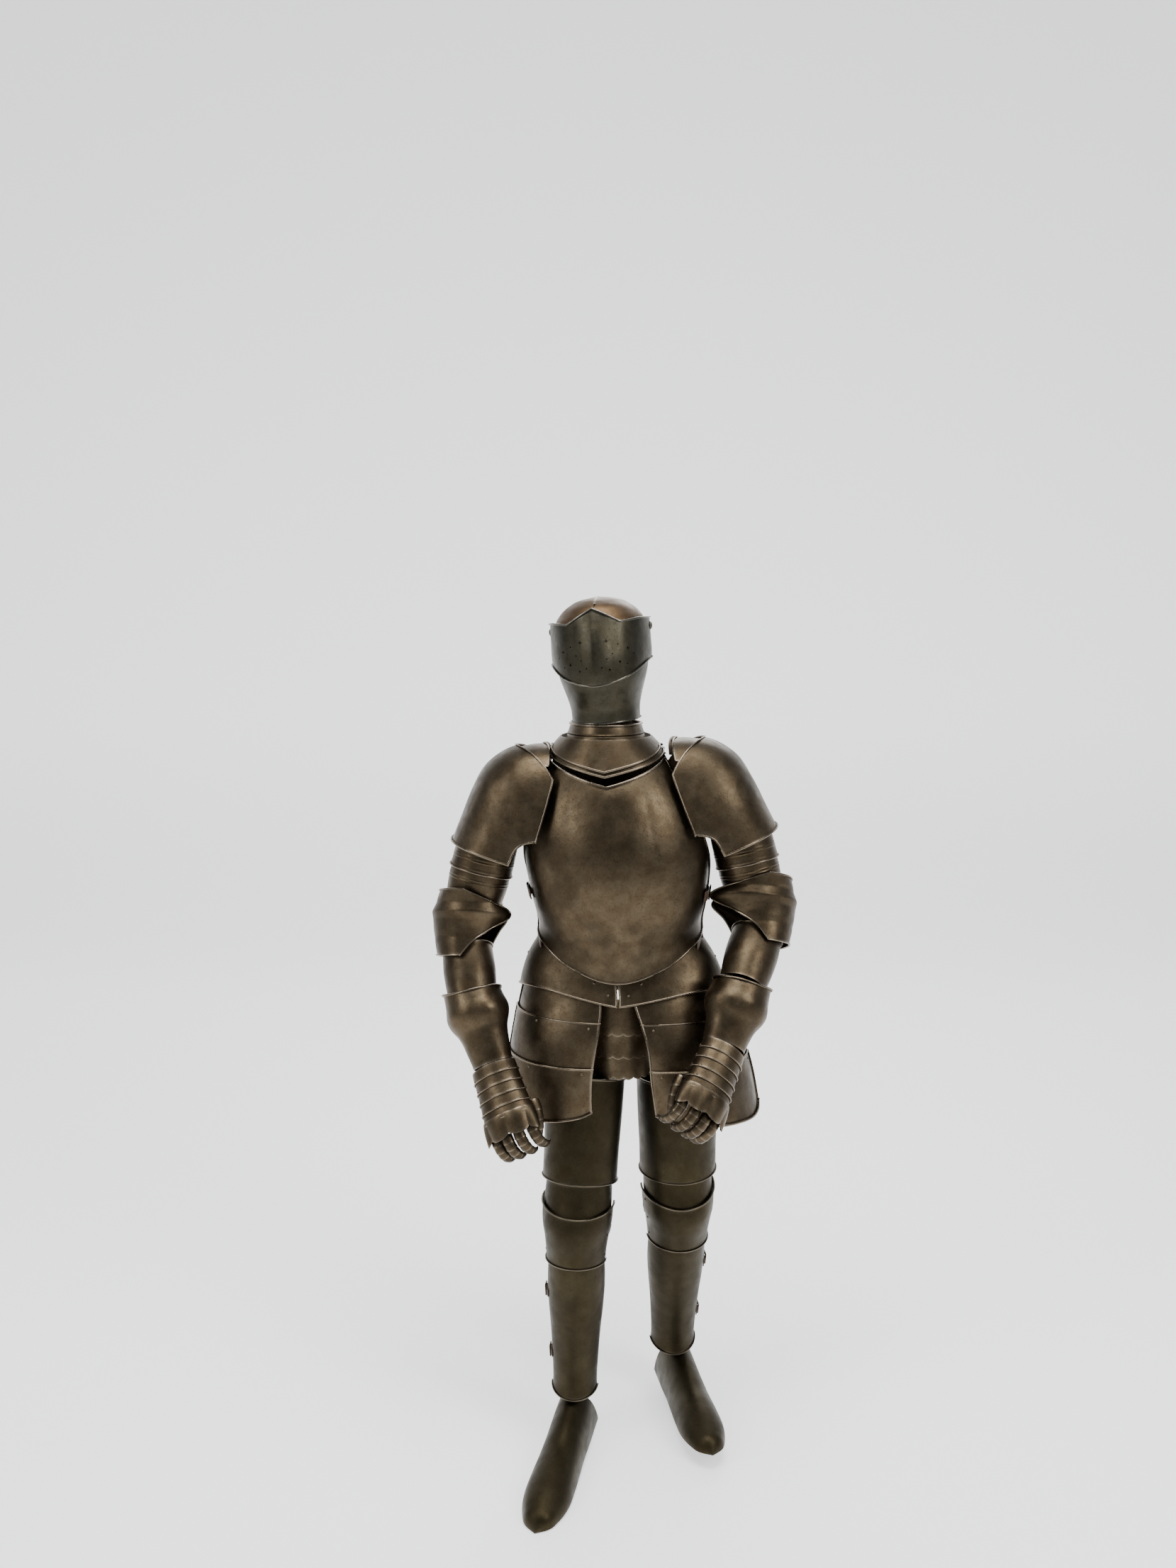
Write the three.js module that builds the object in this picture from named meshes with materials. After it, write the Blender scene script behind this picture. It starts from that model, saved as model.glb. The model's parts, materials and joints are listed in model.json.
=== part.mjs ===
import * as THREE from 'three';

// A suit of plate armour, empty, held in its worn pose. Millimetres, +Z up. The suit faces -Y and its
// own left side is +X. Heights are counted from the ground under the toes while the pieces are placed,
// and the whole suit is then lowered so that the origin lies inside the gorget, between the shoulders,
// where the wearer carries it.
//
// Every plate is a wall of sheet steel between two edges on a form. A form is a short table of
// sections: z up its axis, x and y of the section's middle, its half width (side), its depths (front
// and back), an optional ridge (keel) down its front, and the angles at which the plate starts and
// ends. Angle 0 is the front, 90 the suit's outer side and 180 the back.

const originHeight = 1440;
const bodyWall = 1.8;
const limbWall = 1.4;
const handWall = 1.1;
const seam = 1; // clearance between overlapping plates

const steel = {
  skull: { color: 0x6b5138, roughness: 0.5 },
  visor: { color: 0x4b473c, roughness: 0.42 },
  body: { color: 0x584838, roughness: 0.4 },
  limb: { color: 0x4f4133, roughness: 0.42 },
  leg: { color: 0x3a3226, roughness: 0.45 },
};

const suit = new THREE.Group();
suit.name = 'suit_of_plate_armour';
const ground = new THREE.Group();
ground.position.z = -originHeight;
suit.add(ground);

// ---------------------------------------------------------------- sheet-metal walls

const radians = THREE.MathUtils.degToRad;
const keyOf = (point) => [point.x, point.y, point.z].map((value) => Math.round(value * 1e4)).join(',');

// Outward directions at the grid's points; points that coincide share one direction.
function outwardAt(grid, closed, flipped) {
  const sums = new Map();
  const columns = grid[0].length;
  const spans = closed ? columns : columns - 1;
  for (let row = 0; row < grid.length - 1; row += 1) {
    for (let column = 0; column < spans; column += 1) {
      const next = (column + 1) % columns;
      const corners = [grid[row][column], grid[row][next], grid[row + 1][next], grid[row + 1][column]];
      const rising = corners[2].clone().sub(corners[0]);
      const falling = corners[3].clone().sub(corners[1]);
      const facing = rising.cross(falling).multiplyScalar(flipped ? -1 : 1);
      for (const key of new Set(corners.map(keyOf))) {
        if (!sums.has(key)) sums.set(key, new THREE.Vector3());
        sums.get(key).add(facing);
      }
    }
  }
  return (point) => sums.get(keyOf(point)).clone().normalize();
}

// A closed solid from a grid of outer points: rows run up the plate, columns run round it.
function wallGeometry(grid, wall, closed, flipped) {
  const outward = outwardAt(grid, closed, flipped);
  const inner = grid.map((row) => row.map((point) => point.clone().addScaledVector(outward(point), -wall)));
  const positions = [];
  const numbers = new Map();
  const indices = [];
  const numberOf = (point) => {
    const key = keyOf(point);
    if (!numbers.has(key)) {
      numbers.set(key, numbers.size);
      positions.push(point.x, point.y, point.z);
    }
    return numbers.get(key);
  };
  const triangle = (a, b, c) => {
    const three = [a, b, c].map(numberOf);
    if (new Set(three).size < 3) return;
    indices.push(...(flipped ? three.reverse() : three));
  };
  const quad = (a, b, c, d) => {
    triangle(a, b, c);
    triangle(a, c, d);
  };
  const columns = grid[0].length;
  const spans = closed ? columns : columns - 1;
  const last = columns - 1;
  const top = grid.length - 1;
  for (let row = 0; row < top; row += 1) {
    for (let column = 0; column < spans; column += 1) {
      const next = (column + 1) % columns;
      quad(grid[row][column], grid[row][next], grid[row + 1][next], grid[row + 1][column]);
      quad(inner[row][column], inner[row + 1][column], inner[row + 1][next], inner[row][next]);
    }
    const meets = (level) => keyOf(grid[level][0]) === keyOf(grid[level][last]);
    if (closed || (meets(row) && meets(row + 1))) continue;
    quad(grid[row][0], grid[row + 1][0], inner[row + 1][0], inner[row][0]);
    quad(grid[row][last], inner[row][last], inner[row + 1][last], grid[row + 1][last]);
  }
  for (let column = 0; column < spans; column += 1) {
    const next = (column + 1) % columns;
    quad(grid[0][column], inner[0][column], inner[0][next], grid[0][next]);
    quad(grid[top][column], grid[top][next], inner[top][next], inner[top][column]);
  }
  const geometry = new THREE.BufferGeometry();
  geometry.setAttribute('position', new THREE.Float32BufferAttribute(positions, 3));
  geometry.setIndex(indices);
  geometry.computeVertexNormals();
  return geometry;
}

function addPlate(parent, name, finish, geometry) {
  const material = new THREE.MeshStandardMaterial({ metalness: 0.9, side: THREE.DoubleSide, ...finish });
  const mesh = new THREE.Mesh(geometry, material);
  mesh.name = name;
  parent.add(mesh);
}

// ---------------------------------------------------------------- forms and plates on them

// A smooth value of one column where another column (key) has the given value.
function sample(table, key, at, column, fallback) {
  const valueOf = (row) => row[column] ?? fallback;
  const rows = [...table].sort((one, other) => one[key] - other[key]);
  if (at <= rows[0][key]) return valueOf(rows[0]);
  if (at >= rows.at(-1)[key]) return valueOf(rows.at(-1));
  const above = rows.findIndex((row) => row[key] >= at);
  const [low, high] = [rows[above - 1], rows[above]];
  const slope = (one, other) => (valueOf(other) - valueOf(one)) / (other[key] - one[key]);
  const tangent = (index) => {
    if (index === 0 || index === rows.length - 1) return slope(low, high);
    return (slope(rows[index - 1], rows[index]) + slope(rows[index], rows[index + 1])) / 2;
  };
  const span = high[key] - low[key];
  const t = (at - low[key]) / span;
  const start = tangent(above - 1) * span;
  const end = tangent(above) * span;
  const curve = (2 * t ** 3 - 3 * t ** 2 + 1) * valueOf(low) + (t ** 3 - 2 * t ** 2 + t) * start;
  return curve + (3 * t ** 2 - 2 * t ** 3) * valueOf(high) + (t ** 3 - t ** 2) * end;
}

const signedPower = (value, power) => Math.sign(value) * Math.abs(value) ** power;

// The point of a form at a height and an angle, moved out by lift. A form is keyed by z, or by v where
// its sections follow the plate's own edges.
function formPoint(form, key, at, z, angle, lift) {
  const column = (name, fallback) => sample(form, key, at, name, fallback);
  const power = 2 / column('round', 2);
  const turn = radians(angle);
  const across = signedPower(Math.sin(turn), power);
  const along = signedPower(Math.cos(turn), power);
  const depth = (along > 0 ? column('front') : column('back', 0)) + lift;
  const ridge = column('keel', 0) * Math.max(0, 1 - Math.abs(angle) / 24);
  const x = column('x', 0) + (column('side') + lift) * across;
  return new THREE.Vector3(x, column('y', 0) - depth * along - ridge, z);
}

// A plate between a lower and an upper edge; each edge is a height or a table of u and z, and u runs
// from 0 where the plate starts to 1 where it ends. A dome bunches its rows towards its top, and a lip
// turns the lowest row outwards.
function plateGeometry(form, options) {
  const { low, high, columns, rows, wall, lift = 0, lip = 0, side = 1, ring = false, dome = false } = options;
  const key = form[0].v === undefined ? 'z' : 'v';
  const heightOf = (edge, u) => (typeof edge === 'number' ? edge : sample(edge, 'u', u, 'z'));
  const grid = [];
  for (let row = 0; row <= rows; row += 1) {
    const v = dome ? Math.sin(radians((90 * row) / rows)) : row / rows;
    const line = [];
    for (let column = 0; column < (ring ? columns : columns + 1); column += 1) {
      const u = column / columns;
      const z = heightOf(low, u) + (heightOf(high, u) - heightOf(low, u)) * v;
      const at = key === 'z' ? z : v;
      const start = sample(form, key, at, 'start', -180);
      const end = sample(form, key, at, 'end', 180);
      const out = row === 0 ? lift + lip : lift;
      const point = formPoint(form, key, at, z, start + (end - start) * u, out);
      point.x *= side;
      line.push(point);
    }
    grid.push(line);
  }
  return wallGeometry(grid, wall, ring, side < 0);
}

// A group at one joint whose -Z points at the next joint and whose -Y is turned towards facing.
function limbGroup(from, to, facing) {
  const group = new THREE.Group();
  const up = from.clone().sub(to).normalize();
  const back = facing.clone().negate();
  back.addScaledVector(up, -back.dot(up)).normalize();
  const across = back.clone().cross(up);
  group.quaternion.setFromRotationMatrix(new THREE.Matrix4().makeBasis(across, back, up));
  group.position.copy(from);
  ground.add(group);
  return group;
}

const place = (x, y, z) => new THREE.Vector3(x, y, z);

// ---------------------------------------------------------------- helmet

const helmetPivot = place(-19, 0, 1745);
const helmetTurn = { yaw: -8, roll: -4 };

const skullForm = [
  { z: 68, y: 4, side: 0, front: 0, back: 0, start: 0, end: 360 },
  { z: 62, y: 4, side: 36, front: 42, back: 46, start: 0, end: 360 },
  { z: 50, y: 4, side: 63, front: 76, back: 78, start: 0, end: 360 },
  { z: 26, y: 2, side: 88, front: 100, back: 106, start: 0, end: 360 },
  { z: 10, side: 94, front: 107, back: 115, start: 40, end: 320 },
  { z: -12, side: 96, front: 108, back: 118, start: 68, end: 292 },
  { z: -45, side: 96, front: 108, back: 117, start: 80, end: 280 },
  { z: -79, side: 90, front: 104, back: 107, start: 84, end: 276 },
  { z: -121, side: 79, front: 90, back: 90, start: 85, end: 275 },
  { z: -162, side: 69, front: 72, back: 75, start: 86, end: 274 },
  { z: -190, side: 68, front: 68, back: 76, start: 86, end: 274 },
];
const bevorForm = [
  { z: 16, side: 100.5, front: 112, start: -97, end: 97 },
  { z: -38, side: 100.5, front: 118, start: -97, end: 97 },
  { z: -79, side: 95, front: 122, start: -96, end: 96 },
  { z: -100, side: 90, front: 123, start: -96, end: 96 },
  { z: -121, side: 83.5, front: 116, start: -96, end: 96 },
  { z: -141, side: 77.5, front: 102, start: -96, end: 96 },
  { z: -165, side: 72.5, front: 87, start: -96, end: 96 },
  { z: -195, side: 71.5, front: 82, start: -96, end: 96 },
];
const bevorTop = [
  { u: 0, z: 14 },
  { u: 0.09, z: -20 },
  { u: 0.25, z: -62 },
  { u: 0.5, z: -84 },
  { u: 0.75, z: -62 },
  { u: 0.91, z: -20 },
  { u: 1, z: 14 },
];
const bevorBottom = [
  { u: 0, z: -186 },
  { u: 0.5, z: -194 },
  { u: 1, z: -186 },
];
const visorForm = [
  { z: 36, side: 104, front: 114, keel: 4, start: -97, end: 97 },
  { z: 9, side: 104, front: 122, keel: 7, start: -97, end: 97 },
  { z: -17, side: 104.5, front: 130, keel: 9, start: -97, end: 97 },
  { z: -58, side: 104.5, front: 136, keel: 9, start: -97, end: 97 },
  { z: -90, side: 100, front: 136, keel: 8, start: -97, end: 97 },
  { z: -118, side: 97, front: 131, keel: 5, start: -97, end: 97 },
];
const visorTop = [
  { u: 0, z: 18 },
  { u: 0.2, z: 15 },
  { u: 0.34, z: 8 },
  { u: 0.5, z: 36 },
  { u: 0.66, z: 8 },
  { u: 0.8, z: 15 },
  { u: 1, z: 18 },
];
const visorBottom = [
  { u: 0, z: -62 },
  { u: 0.12, z: -70 },
  { u: 0.3, z: -100 },
  { u: 0.5, z: -117 },
  { u: 0.7, z: -100 },
  { u: 0.88, z: -70 },
  { u: 1, z: -62 },
];

function addHelmet() {
  const helmet = new THREE.Group();
  helmet.position.copy(helmetPivot);
  helmet.rotation.set(0, radians(helmetTurn.roll), radians(helmetTurn.yaw), 'ZYX');
  ground.add(helmet);
  const skull = { low: -188, high: 68, columns: 20, rows: 7, wall: bodyWall, dome: true };
  addPlate(helmet, 'skull', steel.skull, plateGeometry(skullForm, skull));
  const bevor = { low: bevorBottom, high: bevorTop, columns: 12, rows: 4, wall: limbWall };
  addPlate(helmet, 'bevor', steel.visor, plateGeometry(bevorForm, bevor));
  const visor = { low: visorBottom, high: visorTop, columns: 12, rows: 4, wall: limbWall };
  addPlate(helmet, 'visor', steel.visor, plateGeometry(visorForm, visor));
}

// ---------------------------------------------------------------- torso

const torsoPlace = { x: 20, yaw: -5 };

const cuirassForm = [
  { z: 1000, x: 4, side: 168, front: 116, back: 104, keel: 3, round: 2.2, start: -92, end: 92 },
  { z: 1060, x: 4, side: 167, front: 128, back: 98, keel: 5, round: 2.2, start: -92, end: 92 },
  { z: 1115, x: 3, side: 170, front: 142, back: 94, keel: 7, round: 2.2, start: -92, end: 92 },
  { z: 1180, x: 1, side: 184, front: 157, back: 102, keel: 8, round: 2.2, start: -92, end: 92 },
  { z: 1240, x: -2, side: 193, front: 164, back: 112, keel: 8, round: 2.2, start: -90, end: 90 },
  { z: 1300, x: -5, side: 194, front: 163, back: 120, keel: 8, round: 2.2, start: -76, end: 76 },
  { z: 1360, x: -10, side: 186, front: 152, back: 122, keel: 8, round: 2.2, start: -66, end: 66 },
  { z: 1420, x: -16, side: 164, front: 134, back: 116, keel: 6, round: 2.2, start: -62, end: 62 },
  { z: 1465, x: -22, side: 142, front: 106, back: 98, keel: 3, round: 2.2, start: -62, end: 62 },
  { z: 1500, x: -26, side: 122, front: 74, back: 76, keel: 0, round: 2.2, start: -64, end: 64 },
];
const breastTop = [
  { u: 0, z: 1478 },
  { u: 0.5, z: 1425 },
  { u: 1, z: 1478 },
];
const breastBottom = [
  { u: 0, z: 1112 },
  { u: 0.15, z: 1092 },
  { u: 0.32, z: 1052 },
  { u: 0.5, z: 1022 },
  { u: 0.68, z: 1052 },
  { u: 0.85, z: 1092 },
  { u: 1, z: 1112 },
];
const backTop = [
  { u: 0, z: 1480 },
  { u: 0.5, z: 1458 },
  { u: 1, z: 1480 },
];
const backBottom = [
  { u: 0, z: 1112 },
  { u: 0.5, z: 1080 },
  { u: 1, z: 1112 },
];
// The back plate shares the cuirass form and fills the angles that the breastplate leaves.
const backForm = cuirassForm.map((row) => {
  const start = Math.max(184 - row.end, row.end + 3);
  return { ...row, keel: 0, start, end: 360 - start };
});

const collarForm = [
  { z: 1552, x: -27, y: -2, side: 73, front: 86, back: 76 },
  { z: 1538, x: -27, y: -2, side: 78, front: 91, back: 80 },
  { z: 1514, x: -27, y: -2, side: 84, front: 96, back: 84 },
];
const collarTop = [
  { u: 0, z: 1553 },
  { u: 0.5, z: 1546 },
  { u: 1, z: 1553 },
];
const collarBottom = [
  { u: 0, z: 1524 },
  { u: 0.5, z: 1514 },
  { u: 1, z: 1524 },
];
const gorgetForm = [
  { z: 1530, x: -27, y: 0, side: 85, front: 99, back: 89 },
  { z: 1510, x: -26, y: 0, side: 104, front: 108, back: 98 },
  { z: 1480, x: -23, y: 0, side: 132, front: 121, back: 112 },
  { z: 1445, x: -20, y: 0, side: 150, front: 136, back: 126 },
];
const gorgetTop = [
  { u: 0, z: 1532 },
  { u: 0.5, z: 1520 },
  { u: 1, z: 1532 },
];
const gorgetUpperBottom = [
  { u: 0, z: 1486 },
  { u: 0.28, z: 1506 },
  { u: 0.5, z: 1456 },
  { u: 0.72, z: 1506 },
  { u: 1, z: 1486 },
];
const gorgetLowerTop = [
  { u: 0, z: 1504 },
  { u: 0.28, z: 1510 },
  { u: 0.5, z: 1478 },
  { u: 0.72, z: 1510 },
  { u: 1, z: 1504 },
];
const gorgetLowerBottom = [
  { u: 0, z: 1472 },
  { u: 0.26, z: 1498 },
  { u: 0.5, z: 1446 },
  { u: 0.74, z: 1498 },
  { u: 1, z: 1472 },
];

// The skirt of the cuirass flares from its upper edge (v 1) to its lower edge (v 0).
const fauldForm = [
  { v: 1, x: 4, side: 161, front: 113, back: 84, start: 1, end: 96 },
  { v: 0.8, x: 5, side: 177, front: 114, back: 94, start: 1, end: 96 },
  { v: 0.55, x: 6, side: 196, front: 115, back: 106, start: 1, end: 96 },
  { v: 0.25, x: 8, side: 209, front: 117, back: 117, start: 1, end: 96 },
  { v: 0, x: 8, side: 214, front: 121, back: 124, start: 1, end: 96 },
];
const fauldTop = [
  { u: 0, z: 1034 },
  { u: 0.35, z: 1066 },
  { u: 0.7, z: 1102 },
  { u: 1, z: 1122 },
];
const fauldBottom = [
  { u: 0, z: 974 },
  { u: 0.5, z: 1000 },
  { u: 1, z: 984 },
];
const culetForm = fauldForm.map((row) => ({ ...row, start: 88, end: 272 }));
const culetTop = [
  { u: 0, z: 1122 },
  { u: 0.5, z: 1096 },
  { u: 1, z: 1122 },
];
const culetBottom = [
  { u: 0, z: 984 },
  { u: 0.5, z: 940 },
  { u: 1, z: 984 },
];

const tassetForms = {
  left: [
    { z: 992, x: 8, side: 217, front: 128, back: 128, start: 8, end: 98 },
    { z: 905, x: 75, side: 178, front: 148, back: 128, start: -2, end: 92 },
    { z: 818, x: 105, side: 178, front: 155, back: 128, start: -8, end: 88 },
    { z: 722, x: 125, side: 178, front: 158, back: 128, start: -10, end: 85 },
  ],
  right: [
    { z: 992, x: -8, side: 217, front: 128, back: 128, start: 10, end: 98 },
    { z: 905, x: 50, side: 172, front: 146, back: 128, start: -5, end: 92 },
    { z: 818, x: 70, side: 168, front: 152, back: 128, start: -8, end: 88 },
    { z: 722, x: 82, side: 170, front: 156, back: 128, start: -13, end: 85 },
  ],
};
const tassetLames = [
  { name: 'upper', low: 930, high: 990, lift: 2 * (limbWall + seam) },
  { name: 'middle', low: 838, high: 940, lift: limbWall + seam },
  { name: 'lower', low: 750, high: 848, lift: 0 },
];
const tassetHem = [
  { u: 0, z: 758 },
  { u: 0.08, z: 748 },
  { u: 0.6, z: 730 },
  { u: 0.92, z: 732 },
  { u: 1, z: 744 },
];

const brayetteForm = [
  { z: 972, x: 4, y: -62, side: 62, front: 44, start: -84, end: 84 },
  { z: 900, x: 6, y: -58, side: 68, front: 50, start: -84, end: 84 },
  { z: 806, x: 8, y: -52, side: 66, front: 54, start: -84, end: 84 },
];
const brayetteLames = [
  { low: 904, high: 966 },
  { low: 855, high: 912 },
  { low: 810, high: 863 },
];

function addTorso() {
  const torso = new THREE.Group();
  torso.position.x = torsoPlace.x;
  torso.rotation.z = radians(torsoPlace.yaw);
  ground.add(torso);
  const add = (name, form, options) => {
    const spec = { wall: bodyWall, ...options };
    addPlate(torso, name, steel.body, plateGeometry(form, spec));
  };
  add('breastplate', cuirassForm, { low: breastBottom, high: breastTop, columns: 16, rows: 8, lip: 5 });
  add('backplate', backForm, { low: backBottom, high: backTop, columns: 12, rows: 6, lift: 4 });
  const ring = { ring: true, columns: 18 };
  add('gorget_collar', collarForm, { low: collarBottom, high: collarTop, rows: 2, ...ring });
  add('gorget_upper', gorgetForm, {
    low: gorgetUpperBottom, high: gorgetTop, rows: 2, lift: 5, ...ring,
  });
  add('gorget_lower', gorgetForm, { low: gorgetLowerBottom, high: gorgetLowerTop, rows: 1, ...ring });
  add('culet', culetForm, {
    low: culetBottom, high: culetTop, columns: 12, rows: 3, lift: -6, wall: limbWall,
  });
  for (const [word, side] of [['right', -1], ['left', 1]]) {
    const fauldSide = fauldForm.map((row) => ({ ...row, x: row.x * side }));
    const fauld = { low: fauldBottom, high: fauldTop, columns: 8, rows: 3, side, wall: limbWall };
    add(`fauld_${word}`, fauldSide, fauld);
    for (const lame of tassetLames) {
      const hem = lame.name === 'lower' ? tassetHem : lame.low;
      const tasset = { ...lame, low: hem, columns: 7, rows: 2, side, wall: limbWall };
      add(`tasset_${lame.name}_${word}`, tassetForms[word], tasset);
    }
  }
  brayetteLames.forEach((lame, index) => {
    const lift = (2 - index) * (handWall + seam);
    const brayette = { ...lame, columns: 6, rows: 1, wall: handWall, lift };
    add(`brayette_${index + 1}`, brayetteForm, brayette);
  });
}

// ---------------------------------------------------------------- shoulders

// A pauldron is a cap whose ribs run from a low corner in front, over the shoulder line, to a low
// corner behind. The shoulder line is given outwards from the neck: x out and z up from the joint.
const shoulderLine = [
  { at: 0, x: -84, z: 84 },
  { at: 0.2, x: -42, z: 86 },
  { at: 0.38, x: 8, z: 77 },
  { at: 0.54, x: 54, z: 48 },
  { at: 0.68, x: 84, z: 6 },
  { at: 0.84, x: 112, z: -46 },
  { at: 1, x: 137, z: -92 },
];
const lowCorner = { x: -12, z: -158, front: 126, back: 112 };
const pauldronFullness = 0.72;
const pauldronReach = 83; // degrees of rib to each side of the shoulder line
const neckBulge = 26; // how far the edge beside the neck swings in over the chest and back

// A point of the cap: at runs from the neck (0) to the hem (1), rib from the front to the back.
function capPoint(at, rib, { lift, side, swing }) {
  const over = { x: sample(shoulderLine, 'at', at, 'x'), z: sample(shoulderLine, 'at', at, 'z') };
  const turn = radians(rib);
  const reach = Math.cos(turn) ** pauldronFullness;
  const depth = (rib < 0 ? lowCorner.front : lowCorner.back) + lift;
  const length = Math.hypot(over.x - lowCorner.x, over.z - lowCorner.z);
  const grow = 1 + lift / length;
  const bulge = swing * Math.abs(Math.sin(2 * turn)) ** 0.6 * (1 - at) ** 2;
  const x = lowCorner.x + (over.x - lowCorner.x) * reach * grow - bulge;
  const z = lowCorner.z + (over.z - lowCorner.z) * reach * grow;
  return new THREE.Vector3(x * side, depth * signedPower(Math.sin(turn), 0.85), z);
}

function capGeometry({ inner, outer, ribs, columns, rows, wall, ...fit }) {
  const grid = [];
  for (let row = 0; row <= rows; row += 1) {
    const rib = -ribs + (2 * ribs * row) / rows;
    const from = inner(rib);
    const line = [];
    for (let column = 0; column <= columns; column += 1) {
      line.push(capPoint(from + ((outer(rib) - from) * column) / columns, rib, fit));
    }
    grid.push(line);
  }
  return wallGeometry(grid, wall, false, fit.side < 0);
}

const shoulderJoints = {
  right: { side: -1, joint: place(-203, 5, 1412), tilt: 7 },
  left: { side: 1, joint: place(215, 5, 1430), tilt: 2 },
};

function addPauldron(word) {
  const { side, joint, tilt } = shoulderJoints[word];
  const shoulder = new THREE.Group();
  shoulder.position.copy(joint);
  shoulder.rotation.y = radians(tilt * side);
  ground.add(shoulder);
  const seamReach = 52; // the main plate's neck edge swings in to the front edge by this rib
  const mainEdge = (rib) => 0.3 * Math.max(0, 1 - (rib / seamReach) ** 2);
  const main = { inner: mainEdge, outer: () => 1, ribs: pauldronReach, columns: 9, rows: 8 };
  const lame = { inner: () => 0.05, outer: () => 0.36, ribs: 40, columns: 3, rows: 4 };
  const over = capGeometry({ ...main, side, lift: 5, swing: neckBulge, wall: limbWall });
  addPlate(shoulder, `pauldron_${word}`, steel.body, over);
  const under = capGeometry({ ...lame, side, lift: 0, swing: 22, wall: limbWall });
  addPlate(shoulder, `pauldron_lame_${word}`, steel.body, under);
}

// ---------------------------------------------------------------- arms

const arms = {
  right: {
    side: -1,
    shoulder: place(-229, 5, 1410),
    elbow: place(-308, 0, 1098),
    cuff: place(-288, -70, 985),
    wrist: place(-236, -140, 845),
    knuckles: place(-194, -212, 745),
    facing: place(-0.15, -1, 0),
    handFacing: place(-0.2, -1, 0.1),
    wingTrim: 20,
  },
  left: {
    side: 1,
    shoulder: place(250, 0, 1430),
    elbow: place(324, -22, 1128),
    cuff: place(270, -125, 1015),
    wrist: place(222, -195, 902),
    knuckles: place(176, -268, 822),
    facing: place(0.15, -1, 0),
    handFacing: place(0.3, -1, 0.1),
    wingTrim: 0,
  },
};

// Arm forms hang from their upper joint, so z runs down from 0.
const rerebraceForm = [
  { z: -70, side: 61, front: 60, back: 60 },
  { z: -150, side: 63, front: 62, back: 62 },
  { z: -205, side: 64, front: 61, back: 62 },
  { z: -250, side: 60, front: 55, back: 60 },
];
const couterForm = [
  { z: 86, x: -14, y: -24, side: 72, front: 76, back: 74, start: 0, end: 205 },
  { z: 66, x: -16, y: -17, side: 82, front: 77, back: 76, start: -42, end: 214, wing: 0.4 },
  { z: 48, x: -24, y: -9, side: 95, front: 80, back: 78, start: -76, end: 222, wing: 1 },
  { z: 36, x: -24, y: -6, side: 97, front: 81, back: 80, start: -76, end: 226, wing: 1 },
  { z: 10, x: -8, y: -2, side: 80, front: 79, back: 79, start: -54, end: 226, wing: 0.3 },
  { z: -20, x: -4, y: -5, side: 71, front: 74, back: 75, start: -26, end: 216 },
  { z: -50, x: -10, y: -11, side: 66, front: 66, back: 70, start: 0, end: 205 },
];
// A shorter wing draws the inner end of the couter in by trim.
function couterFormWith(trim) {
  const shorter = (row) => (trim * (row.wing ?? 0)) / 2;
  return couterForm.map((row) => ({ ...row, x: (row.x ?? 0) + shorter(row), side: row.side - shorter(row) }));
}
const vambraceForm = [
  { z: -34, side: 53, front: 50, back: 52 },
  { z: -90, side: 55, front: 53, back: 53 },
  { z: -170, side: 47, front: 46, back: 46 },
];
const cuffForm = [
  { z: 10, side: 59, front: 57, back: 56 },
  { z: -18, side: 62, front: 60, back: 58 },
  { z: -46, side: 67, front: 62, back: 58 },
  { z: -60, side: 64, front: 58, back: 54 },
  { z: -84, side: 53, front: 46, back: 44 },
  { z: -122, side: 46, front: 38, back: 36 },
  { z: -145, side: 43, front: 33, back: 32 },
];
const cuffTop = [
  { u: 0, z: -4 },
  { u: 0.5, z: -2 },
  { u: 0.75, z: 16 },
  { u: 1, z: -4 },
];
const handForm = [
  { z: 6, side: 49, front: 41, start: -104, end: 104 },
  { z: -40, side: 50, front: 37, start: -104, end: 104 },
  { z: -80, side: 53, front: 34, start: -104, end: 104 },
  { z: -112, side: 55, front: 32, start: -100, end: 100 },
  { z: -146, side: 54, front: 24, start: -94, end: 94 },
];

// A finger's scales in one piece: a half tube that curls back under the hand.
const finger = { width: 12.6, height: 11, curl: 36, bend: 118, pitch: 26.4, open: 96 };

function fingerGeometry({ width, height, curl, bend }, side) {
  const columns = 4;
  const rows = 4;
  const grid = [];
  for (let row = rows; row >= 0; row -= 1) {
    const turn = radians((bend * row) / rows);
    const taper = 1 - (0.16 * row) / rows;
    const line = [];
    for (let column = 0; column <= columns; column += 1) {
      const angle = radians(-finger.open + (2 * finger.open * column) / columns);
      const out = curl + height * taper * Math.cos(angle);
      const x = width * taper * Math.sin(angle);
      line.push(new THREE.Vector3(x * side, curl - out * Math.cos(turn), -out * Math.sin(turn)));
    }
    grid.push(line);
  }
  return wallGeometry(grid, handWall, false, side < 0);
}

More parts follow.
